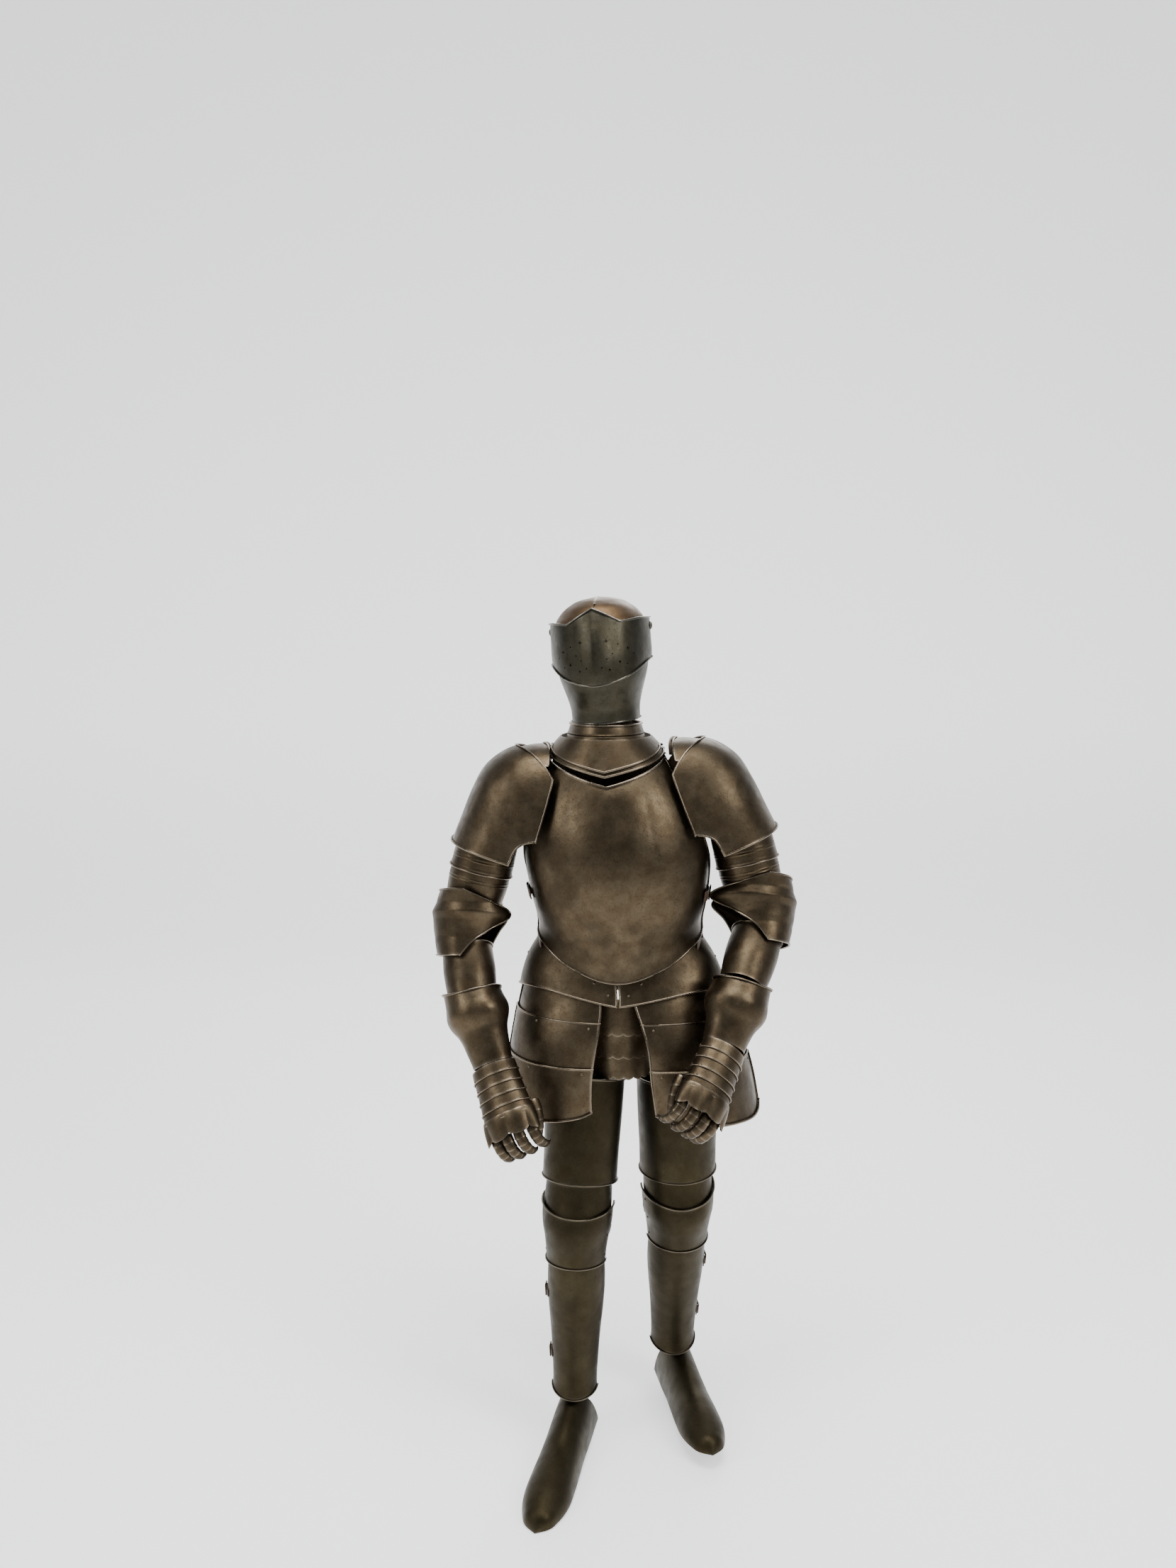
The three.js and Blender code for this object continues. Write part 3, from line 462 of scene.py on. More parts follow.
# Holes through a finished plate: crosses, with arms of the given length, and round breaths.
def pierce(piece, surface, place, spots):
    bm = bmesh.new()
    for spot in spots:
        for side in (-1, 1):
            u = 0.5 + side * spot["u"]
            point = place @ surface(u, spot["v"])
            normal = (place.to_3x3() @ outwardAt(surface, u, spot["v"], 1)).normalized()
            turn = Matrix.Translation(point) @ normal.to_track_quat("Z", "Y").to_matrix().to_4x4()
            if spot["arm"]:
                for long, wide in ((spot["arm"], 1.5), (1.5, spot["arm"])):
                    shape = Matrix.Diagonal((long * mm, wide * mm, 12 * mm, 1))
                    bmesh.ops.create_cube(bm, size=1, matrix=turn @ shape)
            else:
                bmesh.ops.create_cone(bm, cap_ends=True, segments=10, radius1=breathRadius * mm,
                                      radius2=breathRadius * mm, depth=12 * mm, matrix=turn)
    mesh = bpy.data.meshes.new("punches")
    bm.to_mesh(mesh)
    bm.free()
    punches = bpy.data.objects.new("punches", mesh)
    bpy.context.scene.collection.objects.link(punches)
    cut = piece.modifiers.new("piercing", "BOOLEAN")
    cut.object = punches
    cut.operation = "DIFFERENCE"
    cut.solver = "EXACT"
    cut.use_self = True
    piece.modifiers.move(1, 2)
    piece.modifiers.move(1, 1)
    depsgraph = bpy.context.evaluated_depsgraph_get()
    done = bpy.data.meshes.new_from_object(piece.evaluated_get(depsgraph))
    done.name = piece.name
    piece.modifiers.clear()
    piece.data = done
    bpy.data.objects.remove(punches)


# The helmet.

helmetPlan = dict(pivot=(-19, 0, 1745), yaw=-8, roll=-4, pivotRadius=8.5, pivotHeight=4.5)
skullForm = table(
    "z y side front back start end",
    (68, 4, 0, 0, 0, 0, 360),
    (62, 4, 36, 42, 46, 0, 360),
    (50, 4, 63, 76, 78, 0, 360),
    (26, 2, 88, 100, 106, 0, 360),
    (10, 0, 94, 107, 115, 40, 320),
    (-12, 0, 96, 108, 118, 68, 292),
    (-45, 0, 96, 108, 117, 80, 280),
    (-79, 0, 90, 104, 107, 84, 276),
    (-121, 0, 79, 90, 90, 85, 275),
    (-162, 0, 69, 72, 75, 86, 274),
    (-190, 0, 68, 68, 76, 86, 274),
)
bevorForm = table(
    "z side front start end",
    (16, 100.5, 112, -97, 97),
    (-38, 100.5, 118, -97, 97),
    (-79, 95, 122, -96, 96),
    (-100, 90, 123, -96, 96),
    (-121, 83.5, 116, -96, 96),
    (-141, 77.5, 102, -96, 96),
    (-165, 72.5, 87, -96, 96),
    (-195, 71.5, 82, -96, 96),
)
bevorTop = table(
    "z u",
    (14, 0),
    (-20, 0.09),
    (-62, 0.25),
    (-84, 0.5),
    (-62, 0.75),
    (-20, 0.91),
    (14, 1),
)
bevorBottom = table(
    "z u",
    (-186, 0),
    (-194, 0.5),
    (-186, 1),
)
visorForm = table(
    "z side front keel start end",
    (36, 104, 114, 4, -97, 97),
    (9, 104, 122, 7, -97, 97),
    (-17, 104.5, 130, 9, -97, 97),
    (-58, 104.5, 136, 9, -97, 97),
    (-90, 100, 136, 8, -97, 97),
    (-118, 97, 131, 5, -97, 97),
)
visorTop = veeEdge(
    "z u",
    (18, 0),
    (15, 0.2),
    (8, 0.34),
    (36, 0.5),
    (8, 0.66),
    (15, 0.8),
    (18, 1),
)
visorBottom = table(
    "z u",
    (-62, 0),
    (-70, 0.12),
    (-100, 0.3),
    (-117, 0.5),
    (-100, 0.7),
    (-70, 0.88),
    (-62, 1),
)


# The breaths, on each side of the keel: u from the middle, v from the lower edge, arm 0 for a round hole.
visorPiercings = table(
    "u v arm",
    (0.075, 0.62, 8),
    (0.14, 0.6, 0),
    (0.105, 0.44, 0),
    (0.2, 0.5, 6),
    (0.15, 0.3, 6),
    (0.075, 0.36, 0),
    (0.09, 0.2, 6),
    (0.24, 0.36, 0),
    (0.2, 0.22, 0),
    (0.045, 0.24, 0),
)


def buildHelmet():
    yaw = Matrix.Rotation(math.radians(helmetPlan["yaw"]), 4, "Z")
    turn = yaw @ Matrix.Rotation(math.radians(helmetPlan["roll"]), 4, "Y")
    place = groundPlace(Matrix.Translation(helmetPlan["pivot"]) @ turn)
    bm = bmesh.new()
    addSheet(bm, formSurface(skullForm, -188, 68, dome=True), place, columns=96, rows=56)
    finishPiece("skullPlate", bm, skullSteel, "suit", bodyWall, ["skull"])
    bm = bmesh.new()
    addSheet(bm, formSurface(bevorForm, bevorBottom, bevorTop), place, columns=72, rows=36, rolls=dict(low=1.0))
    finishPiece("bevorPlate", bm, visorSteel, "bevor", limbWall, ["bevor"])
    bm = bmesh.new()
    addSheet(bm, formSurface(visorForm, visorBottom, visorTop), place, columns=84, rows=30, rolls=dict(low=0.9, high=1.0))
    visor = finishPiece("visorPlate", bm, visorSteel, "visor", limbWall, ["visor"])
    pierce(visor, formSurface(visorForm, visorBottom, visorTop), place, visorPiercings)
    bm = bmesh.new()
    for side in (-1, 1):
        point = place @ Vector((side * 104.6, -2, 0))
        addRivet(bm, point, place.to_3x3() @ Vector((side, 0, 0)), helmetPlan["pivotRadius"], helmetPlan["pivotHeight"])
    finishPiece("visorPivots", bm, visorSteel, "visor")


buildHelmet()
print("helmet made")

# The cuirass, its skirt and the plates over the thighs.

torsoPlan = dict(x=20, yaw=-5)
cuirassForm = table(
    "z x side front back keel round start end",
    (1000, 4, 168, 116, 104, 3, 2.2, -92, 92),
    (1060, 4, 167, 128, 98, 5, 2.2, -92, 92),
    (1115, 3, 170, 142, 94, 7, 2.2, -92, 92),
    (1180, 1, 184, 157, 102, 8, 2.2, -92, 92),
    (1240, -2, 193, 164, 112, 8, 2.2, -90, 90),
    (1300, -5, 194, 163, 120, 8, 2.2, -76, 76),
    (1360, -10, 186, 152, 122, 8, 2.2, -66, 66),
    (1420, -16, 164, 134, 116, 6, 2.2, -62, 62),
    (1465, -22, 142, 106, 98, 3, 2.2, -62, 62),
    (1500, -26, 122, 74, 76, 0, 2.2, -64, 64),
)
breastTop = veeEdge(
    "z u",
    (1478, 0),
    (1425, 0.5),
    (1478, 1),
)
breastBottom = table(
    "z u",
    (1112, 0),
    (1092, 0.15),
    (1052, 0.32),
    (1022, 0.5),
    (1052, 0.68),
    (1092, 0.85),
    (1112, 1),
)
backTop = table(
    "z u",
    (1480, 0),
    (1458, 0.5),
    (1480, 1),
)
backBottom = table(
    "z u",
    (1112, 0),
    (1080, 0.5),
    (1112, 1),
)
collarForm = table(
    "z x y side front back",
    (1552, -27, -2, 73, 86, 76),
    (1538, -27, -2, 78, 91, 80),
    (1514, -27, -2, 84, 96, 84),
)
collarTop = table(
    "z u",
    (1553, 0),
    (1546, 0.5),
    (1553, 1),
)
collarBottom = table(
    "z u",
    (1524, 0),
    (1514, 0.5),
    (1524, 1),
)
gorgetForm = table(
    "z x y side front back",
    (1530, -27, 0, 85, 99, 89),
    (1510, -26, 0, 104, 108, 98),
    (1480, -23, 0, 132, 121, 112),
    (1445, -20, 0, 150, 136, 126),
)
gorgetTop = table(
    "z u",
    (1532, 0),
    (1520, 0.5),
    (1532, 1),
)
gorgetUpperBottom = veeEdge(
    "z u",
    (1486, 0),
    (1506, 0.28),
    (1456, 0.5),
    (1506, 0.72),
    (1486, 1),
)
gorgetLowerTop = veeEdge(
    "z u",
    (1504, 0),
    (1510, 0.28),
    (1478, 0.5),
    (1510, 0.72),
    (1504, 1),
)
gorgetLowerBottom = veeEdge(
    "z u",
    (1472, 0),
    (1498, 0.26),
    (1446, 0.5),
    (1498, 0.74),
    (1472, 1),
)
fauldForm = table(
    "v x side front back start end",
    (1, 4, 161, 113, 84, 1, 96),
    (0.8, 5, 177, 114, 94, 1, 96),
    (0.55, 6, 198, 118, 106, 1, 96),
    (0.25, 8, 214, 126, 117, 1, 96),
    (0, 8, 221, 133, 124, 1, 96),
)
fauldTop = table(
    "z u",
    (1034, 0),
    (1066, 0.35),
    (1102, 0.7),
    (1122, 1),
)
fauldBottom = table(
    "z u",
    (974, 0),
    (1000, 0.5),
    (984, 1),
)
culetTop = table(
    "z u",
    (1122, 0),
    (1096, 0.5),
    (1122, 1),
)
culetBottom = table(
    "z u",
    (984, 0),
    (940, 0.5),
    (984, 1),
)
tassetFormLeft = table(
    "z x side front back start end",
    (992, 8, 212, 122, 128, 8, 85),
    (905, 75, 178, 148, 128, -2, 92),
    (818, 105, 176, 155, 128, -8, 88),
    (722, 125, 175, 158, 128, -10, 85),
)
tassetFormRight = table(
    "z x side front back start end",
    (992, -8, 212, 122, 128, 10, 85),
    (905, 50, 172, 146, 128, -5, 92),
    (818, 70, 166, 152, 128, -8, 88),
    (722, 82, 167, 156, 128, -13, 85),
)
tassetHem = table(
    "z u",
    (758, 0),
    (748, 0.08),
    (730, 0.6),
    (732, 0.92),
    (744, 1),
)
brayetteForm = table(
    "z x y side front start end",
    (972, 4, -62, 62, 44, -84, 84),
    (900, 6, -58, 68, 50, -84, 84),
    (806, 8, -52, 66, 54, -84, 84),
)
backForm = []
for row in cuirassForm:
    start = max(184 - row["end"], row["end"] + 3)
    backForm.append({**row, "keel": 0, "start": start, "end": 360 - start})
culetForm = [{**row, "start": 88, "end": 272} for row in fauldForm]
tassetTop = table(
    "z u",
    (988, 0),
    (1000, 0.3),
    (1008, 0.6),
    (1000, 1),
)
tassetLames = table(
    "name low high lift",
    ("upper", 930, tassetTop, -1.2),
    ("middle", 838, 940, 2.4),
    ("lower", 750, 848, 4.8),
)
brayetteLames = table("low high lift", (904, 984, 4.2), (855, 912, 2.1), (810, 863, 0.0))
torsoTurn = Matrix.Translation((torsoPlan["x"], 0, 0)) @ Matrix.Rotation(math.radians(torsoPlan["yaw"]), 4, "Z")
torsoPlace = groundPlace(torsoTurn)


def waistFlange(u, v, angle, z):
    return 5 * max(0, 1 - v / 0.1) ** 2


def collarBands(u, v, angle, z):
    return 1.2 * max(0, 1 - abs(v - 0.42) / 0.07) - 0.8 * max(0, 1 - abs(v - 0.33) / 0.05)


def onePlate(name, node, surface, place, side=1, material=None, slotName="body_steel", wall=bodyWall, body="suit",
             **sheet):
    bm = bmesh.new()
    addSheet(bm, surface, place, side, **sheet)
    return finishPiece(name, bm, material or bodySteel, body, wall, [node])


fauldRivets = [(0.05, 0.3), (0.05, 0.72), (0.14, 0.56), (0.34, 0.86), (0.6, 0.86), (0.94, 0.5)]
tassetRivets = [(0.07, 0.9), (0.5, 0.92), (0.93, 0.9)]
cuirassStraps = dict(heights=(1085, 1190), width=22, thickness=2.5, lift=6.5, reach=dict(start=72, end=114))


# A leather strap that crosses a seam, with a steel buckle at its middle.
def addStrap(name, form, place, side, height, plan, slotName=None):
    band = formSurface(form, height - plan["width"] / 2, height + plan["width"] / 2, side)
    bm = bmesh.new()
    addSheet(bm, band, place, side, columns=36, rows=4, lift=plan["lift"])
    finishPiece(name, bm, strapLeather, "suit", plan["thickness"], bevel=0.6)
    middle = place @ band(0.45, 0.5, plan["lift"])
    normal = (place.to_3x3() @ outwardAt(band, 0.45, 0.5, side, plan["lift"])).normalized()
    along = (place @ band(0.5, 0.5, plan["lift"]) - place @ band(0.4, 0.5, plan["lift"])).normalized()
    up = normal.cross(along)
    frame = Matrix((along, up, normal)).transposed().to_4x4()
    half = (plan["width"] / 2 + 3) * mm
    bm = bmesh.new()
    for x, y, long, tall in ((0, half, 16, 3), (0, -half, 16, 3), (7 * mm, 0, 3, plan["width"] + 8),
                             (-7 * mm, 0, 3, plan["width"] + 8), (0, 0, 18, 2)):
        spot = Matrix.Translation(middle + along * x + up * y + normal * 1.6 * mm)
        bmesh.ops.create_cube(bm, size=1, matrix=spot @ frame @ Matrix.Diagonal((long * mm, tall * mm, 2.6 * mm, 1)))
    finishPiece(f"{name}Buckle", bm, bodySteel, "suit", bevel=0.7)


def buildTorso():
    breast = formSurface(cuirassForm, breastBottom, breastTop, relief=waistFlange)
    onePlate("breastPlate", "breastplate", breast, torsoPlace, columns=110, rows=90,
             rolls=dict(high=1.5, start=1.2, end=1.2, low=0.8))
    back = formSurface(backForm, backBottom, backTop)
    onePlate("backPlate", "backplate", back, torsoPlace, columns=72, rows=56, lift=4, rolls=dict(high=1.4))
    onePlate("gorgetCollar", "gorget_collar", formSurface(collarForm, collarBottom, collarTop, relief=collarBands), torsoPlace,
             columns=96, rows=24, rolls=dict(high=1.2), ring=True)
    onePlate("gorgetUpper", "gorget_upper", formSurface(gorgetForm, gorgetUpperBottom, gorgetTop), torsoPlace,
             columns=120, rows=20, lift=5, rolls=dict(low=0.8), ring=True)
    onePlate("gorgetLower", "gorget_lower", formSurface(gorgetForm, gorgetLowerBottom, gorgetLowerTop), torsoPlace,
             columns=120, rows=16, rolls=dict(low=0.8), ring=True)
    onePlate("culetPlate", "culet", formSurface(culetForm, culetBottom, culetTop), torsoPlace,
             columns=90, rows=36, lift=-6, wall=limbWall, rolls=dict(low=1.2))
    for word, side in sides.items():
        cap = word.capitalize()
        own = [{**row, "x": row["x"] * side} for row in fauldForm]
        hoop = formSurface(own, fauldBottom, fauldTop, side)
        onePlate(f"fauld{cap}", f"fauld_{word}", hoop, torsoPlace, side, columns=60, rows=40, wall=limbWall,
                 rolls=dict(low=0.8, start=0.8))
        rivetsOn(f"fauldRivets{cap}", hoop, torsoPlace, side, fauldRivets)
        for number, height in enumerate(cuirassStraps["heights"], 1):
            flank = [{**row, "x": row["x"] * side, "keel": 0, **cuirassStraps["reach"]} for row in cuirassForm]
            addStrap(f"cuirassStrap{number}{cap}", flank, torsoPlace, side, height, cuirassStraps)
        form = tassetFormLeft if word == "left" else tassetFormRight
        for lame in tassetLames:
            hem = tassetHem if lame["name"] == "lower" else lame["low"]
            rolls = dict(start=1.5, end=1.2, high=0.6)
            rolls["low"] = 1.8 if lame["name"] == "lower" else 0
            plate = formSurface(form, hem, lame["high"], side)
            onePlate(f"tasset{lame['name'].capitalize()}{cap}", f"tasset_{lame['name']}_{word}", plate, torsoPlace, side,
                     columns=56, rows=24, lift=lame["lift"], wall=limbWall, rolls=rolls)
            if lame["name"] != "upper":
                rivetsOn(f"tassetRivets{lame['name'].capitalize()}{cap}", plate, torsoPlace, side, tassetRivets,
                         lift=lame["lift"])
    for number, lame in enumerate(brayetteLames, 1):
        scallops = lambda u, low=lame["low"]: low + 5 * (1 - abs(math.sin(math.pi * 9 * u)))
        onePlate(f"brayette{number}", f"brayette_{number}", formSurface(brayetteForm, scallops, lame["high"]), torsoPlace,
                 columns=108, rows=12, lift=lame["lift"], wall=handWall)


buildTorso()
print("torso made")

# The shoulders.

shoulderLine = table(
    "z at x",
    (84, 0, -84),
    (86, 0.2, -42),
    (77, 0.38, 8),
    (48, 0.54, 54),
    (6, 0.68, 84),
    (-46, 0.84, 112),
    (-92, 1, 137),
)
pauldronPlan = dict(cornerX=-12, cornerZ=-158, front=126, back=112, fullness=0.72, reach=83, seamReach=52, bulge=26,
                    lameReach=40, lameStart=0.05, lameEnd=0.36, lameBulge=22)
shoulderJoints = dict(right=dict(joint=(-203, 5, 1412), tilt=7), left=dict(joint=(215, 5, 1430), tilt=2))
shoulderX = smooth(shoulderLine, "at", "x")
shoulderZ = smooth(shoulderLine, "at", "z")


# The cap's ribs run from a low corner in front, over the shoulder line, to a low corner behind.
def capSurface(reach, inner, outer, bulge, side):
    def point(u, v, lift=0.0):
        rib = -reach + 2 * reach * v
        at = inner(rib) + (outer - inner(rib)) * u
        turn = math.radians(rib)
        over = Vector((shoulderX(at), 0, shoulderZ(at)))
        corner = Vector((pauldronPlan["cornerX"], 0, pauldronPlan["cornerZ"]))
        grow = math.cos(turn) ** pauldronPlan["fullness"] * (1 + lift / (over - corner).length)
        depth = (pauldronPlan["front"] if rib < 0 else pauldronPlan["back"]) + lift
        swing = bulge * abs(math.sin(2 * turn)) ** 0.6 * (1 - at) ** 2
        x = corner.x + (over.x - corner.x) * grow - swing
        z = corner.z + (over.z - corner.z) * grow
        return Vector((x * side, depth * signedPower(math.sin(turn), 0.85), z))

    return point


def buildShoulder(word, side):
    cap = word.capitalize()
    spot = shoulderJoints[word]
    place = groundPlace(Matrix.Translation(spot["joint"]) @ Matrix.Rotation(math.radians(spot["tilt"] * side), 4, "Y"))
    inner = lambda rib: 0.3 * max(0, 1 - (rib / pauldronPlan["seamReach"]) ** 2)
    main = capSurface(pauldronPlan["reach"], inner, 1, pauldronPlan["bulge"], side)
    onePlate(f"pauldron{cap}", f"pauldron_{word}", main, place, side, columns=64, rows=76, lift=5, wall=limbWall,
             rolls=dict(start=0.9, end=1.4, low=1.2, high=1.2))
    start = lambda rib: pauldronPlan["lameStart"]
    lame = capSurface(pauldronPlan["lameReach"], start, pauldronPlan["lameEnd"], pauldronPlan["lameBulge"], side)
    onePlate(f"pauldronLame{cap}", f"pauldron_lame_{word}", lame, place, side, columns=24, rows=48, wall=limbWall,
             rolls=dict(start=0.9))


# The arms and gauntlets.

arms = dict(
    right=dict(shoulder=(-229, 5, 1410), elbow=(-308, 0, 1098), cuff=(-288, -70, 985), wrist=(-236, -140, 845),
               knuckles=(-194, -212, 745), facing=(-0.15, -1, 0), handFacing=(-0.2, -1, 0.1), wingTrim=20),
    left=dict(shoulder=(250, 0, 1430), elbow=(324, -22, 1128), cuff=(270, -125, 1015), wrist=(222, -195, 902),
              knuckles=(176, -268, 822), facing=(0.15, -1, 0), handFacing=(0.3, -1, 0.1), wingTrim=0),
)
rerebraceForm = table(
    "z side front back",
    (-70, 61, 60, 60),
    (-150, 63, 62, 62),
    (-205, 64, 61, 62),
    (-250, 60, 55, 60),
)
couterForm = table(
    "z x y side front back start end wing",
    (86, -14, -24, 72, 76, 74, 0, 205, 0),
    (66, -16, -17, 82, 77, 76, -42, 214, 0.4),
    (48, -24, -9, 95, 80, 78, -76, 222, 1),
    (36, -24, -6, 97, 81, 80, -76, 226, 1),
    (10, -8, -2, 80, 79, 79, -54, 226, 0.3),
    (-20, -4, -5, 71, 74, 75, -26, 216, 0),
    (-50, -10, -11, 66, 66, 70, 0, 205, 0),
)
vambraceForm = table(
    "z side front back",
    (-34, 53, 50, 52),
    (-90, 55, 53, 53),
    (-170, 47, 46, 46),
)
cuffForm = table(
    "z side front back",
    (10, 59, 57, 56),
    (-18, 62, 60, 58),
    (-46, 67, 62, 58),
    (-60, 64, 58, 54),
    (-84, 53, 46, 44),
    (-122, 46, 38, 36),
    (-145, 43, 33, 32),
)
cuffTop = table(
    "z u",
    (-4, 0),
    (-2, 0.5),
    (16, 0.75),
    (-4, 1),
)
handForm = table(
    "z side front start end",
    (6, 49, 41, -104, 104),
    (-40, 50, 37, -104, 104),
    (-80, 53, 34, -104, 104),
    (-112, 55, 32, -100, 100),
    (-146, 54, 24, -94, 94),
)
fingerPlan = dict(width=12.6, height=11, curl=36, bend=118, pitch=26.4, open=96, scales=6)
thumbPlan = dict(width=13, height=12, curl=56, bend=70, open=96, scales=4)


def fingerSurface(plan, side):
    def point(u, v, lift=0.0):
        along = 1 - v
        turn = math.radians(plan["bend"] * along)
        taper = 1 - 0.16 * along
        angle = math.radians(-plan["open"] + 2 * plan["open"] * u)
        out = plan["curl"] + (plan["height"] * taper + lift) * math.cos(angle)
        x = (plan["width"] * taper + lift) * math.sin(angle)
        return Vector((x * side, plan["curl"] - out * math.cos(turn), -out * math.sin(turn)))

    return point


handLames = 5


# Thin raised lines round the upper arm's lames.
def armRidges(u, v, angle, z):
    return sum(0.9 * max(0, 1 - abs(z - line) / 1.6) for line in (-108, -150, -156, -174, -196, -202))


# The couter folds sharply along a line from its wing's tip, and again below where its lower edge flares.
couterFoldLines = veeEdge(
    "u z",
    (-60, -3),
    (-40, -5.5),
    (-12, -8.5),
    (2, -6.5),
    (26, -5.5),
    (42, -1.5),
    (60, -8),
    (90, -7),
)


def couterFolds(u, v, angle, z):
    near = max(0, math.cos(math.radians(angle * 0.75 - 20)))
    return couterFoldLines(z) * near


def scallopedKnuckles(u):
    return -137 - 9 * abs(math.sin(math.pi * 4 * u)) ** 0.7


# Four bosses over the knuckles, above the fingers' lobes.
def knuckleBosses(u, v, angle, z):
    return 4.5 * abs(math.sin(math.pi * 4 * u)) ** 1.2 * (1 - v) ** 0.6


# Overlapping scales down one finger, each tucked under the one nearer the hand.
def buildFinger(name, node, plan, place, side):
    surface = fingerSurface(plan, side)
    bm = bmesh.new()
    count = plan["scales"]
    for number in range(count):
        top = 1 - number / count
        bottom = max(0, 1 - (number + 1.22) / count)

        def scale(u, v, lift=0.0):
            return surface(u, v, lift + 1.3 * (top - v) / (top - bottom) - 1.0)

        addSheet(bm, scale, place, side, columns=14, rows=5, span=(0, 1, bottom, top))
    finishPiece(name, bm, bodySteel, "suit", 0.9, [node], bevel=0.2)


def buildArm(word, side):
    cap = word.capitalize()
    arm = arms[word]
    elbow = Vector(arm["elbow"])
    upper = groundPlace(limbPlace(arm["shoulder"], arm["elbow"], arm["facing"]))
    ring = dict(columns=72, ring=True, wall=limbWall)
    rerebrace = lambda low, high: formSurface(rerebraceForm, low, high, side, relief=armRidges)
    onePlate(f"rerebraceUpper{cap}", f"rerebrace_upper_{word}", rerebrace(-180, -84), upper, side, rows=56,
             lift=limbWall + seam, rolls=dict(low=0.9), **ring)
    onePlate(f"rerebraceLower{cap}", f"rerebrace_lower_{word}", rerebrace(-244, -168), upper, side, rows=60,
             rolls=dict(low=0.9), **ring)
    middle = (Vector(arm["shoulder"]) - elbow).normalized() + (elbow - Vector(arm["cuff"])).normalized()
    joint = groundPlace(limbPlace(elbow, elbow - middle.normalized(), arm["facing"]))
    half = arm["wingTrim"] / 2
    own = [{**row, "x": row["x"] + half * row["wing"], "side": row["side"] - half * row["wing"]}
           for row in couterForm]
    onePlate(f"couter{cap}", f"couter_{word}", formSurface(own, -50, 86, side, relief=couterFolds), joint, side,
             columns=80, rows=60, lift=1, wall=limbWall, rolls=dict(start=1.0, end=1.0, low=0.9, high=0.9))
    forearm = groundPlace(limbPlace(arm["elbow"], arm["cuff"], arm["facing"]))
    onePlate(f"vambrace{cap}", f"vambrace_{word}", formSurface(vambraceForm, -160, -36, side), forearm, side, rows=30,
             rolls=dict(high=0.9), **ring)
    gauntlet = groundPlace(limbPlace(arm["cuff"], arm["wrist"], arm["handFacing"]))
    length = (Vector(arm["cuff"]) - Vector(arm["wrist"])).length
    onePlate(f"gauntletCuff{cap}", f"gauntlet_cuff_{word}", formSurface(cuffForm, 12 - length, cuffTop, side), gauntlet, side,
             rows=48, rolls=dict(high=1.4), **ring)
    hand = limbPlace(arm["wrist"], arm["knuckles"], arm["handFacing"])
    handPlace = groundPlace(hand)
    back = formSurface(handForm, -106, 4, side)
    bm = bmesh.new()
    for number in range(handLames):
        bottom = number / handLames
        top = min(1, (number + 1.3) / handLames)
        tuck = lambda u, v, lift=0.0, bottom=bottom, top=top: back(u, v, lift + 1.5 * (top - v) / (top - bottom) - 0.9)
        addSheet(bm, tuck, handPlace, side, columns=48, rows=7, span=(0, 1, bottom, top), rolls=dict(low=0.5))
    finishPiece(f"handPlate{cap}", bm, bodySteel, "suit", 1.0, [f"hand_plate_{word}"], bevel=0.2)
    spots = [(u, (number + 0.18) / handLames) for number in range(handLames) for u in (0.07, 0.24, 0.76, 0.93)]
    rivetsOn(f"handRivets{cap}", back, handPlace, side, spots, lift=0.4, radius=2.1, height=1.3)
    knuckles = formSurface(handForm, scallopedKnuckles, -98, side, relief=knuckleBosses)
    onePlate(f"knucklePlate{cap}", f"knuckle_plate_{word}", knuckles, handPlace, side, columns=96, rows=28,
             lift=handWall + seam, wall=handWall)
    for number in range(1, 5):
        fromMiddle = abs(number - 2.5) - 0.5
        spot = Vector((side * fingerPlan["pitch"] * (number - 2.5), -10 + 9 * fromMiddle, -136 + 5 * fromMiddle))
        place = groundPlace(hand @ Matrix.Translation(spot))
        buildFinger(f"finger{number}{cap}", f"finger_{number}_{word}", fingerPlan, place, side)
    turn = Matrix.Rotation(-side * math.radians(50), 4, "Z") @ Matrix.Rotation(math.radians(-12), 4, "X")
    place = groundPlace(hand @ Matrix.Translation((-side * 50, 26, -86)) @ turn)
    buildFinger(f"thumb{cap}", f"thumb_{word}", thumbPlan, place, side)


# The leg harness.

legs = dict(
    right=dict(hip=(-45, -5, 880), knee=(-68, -108, 496), ankle=(-73, -90, 115), heel=(-73, -92, 30), toe=(-147, -380, 12),
               facing=(-0.12, -1, 0), girth=0.97),
    left=dict(hip=(148, 0, 880), knee=(151, -10, 492), ankle=(148, 85, 119), heel=(158, 87, 32), toe=(210, -190, 46),
              facing=(0.14, -1, 0), girth=1.02),
)
cuisseForm = table(
    "z side front back",
    (-80, 84, 86, 82),
    (-170, 82, 84, 80),
    (-240, 79, 81, 76),
    (-310, 78, 79, 72),
)
cuisseBottom = table(
    "z u",
    (-290, 0),
    (-306, 0.5),
    (-296, 0.75),
    (-290, 1),
)
poleynForm = table(
    "z y side front start end",
    (110, 13, 74, 75, -96, 100),
    (70, 8, 77, 79, -97, 104),
    (40, 3, 77, 84, -98, 116),
    (10, 0, 75, 88, -98, 124),
    (-14, 0, 70, 86, -98, 118),
    (-42, 0, 66, 78, -97, 104),
    (-66, 0, 64, 72, -95, 98),
)
poleynTop = table(
    "z u",
    (52, 0),
    (38, 0.45),
    (60, 1),
)
greaveForm = table(
    "z side front back",
    (-34, 53, 52, 52),
    (-80, 58, 55, 62),
    (-130, 59, 53, 68),
    (-180, 56, 50, 64),
    (-235, 51, 46, 55),
    (-295, 47, 43, 46),
    (-345, 45, 44, 44),
    (-380, 46, 50, 46),
    (-450, 40, 50, 50),
)
greaveFrontBottom = table(
    "z u",
    (-362, 0),
    (-370, 0.5),
    (-362, 1),
)
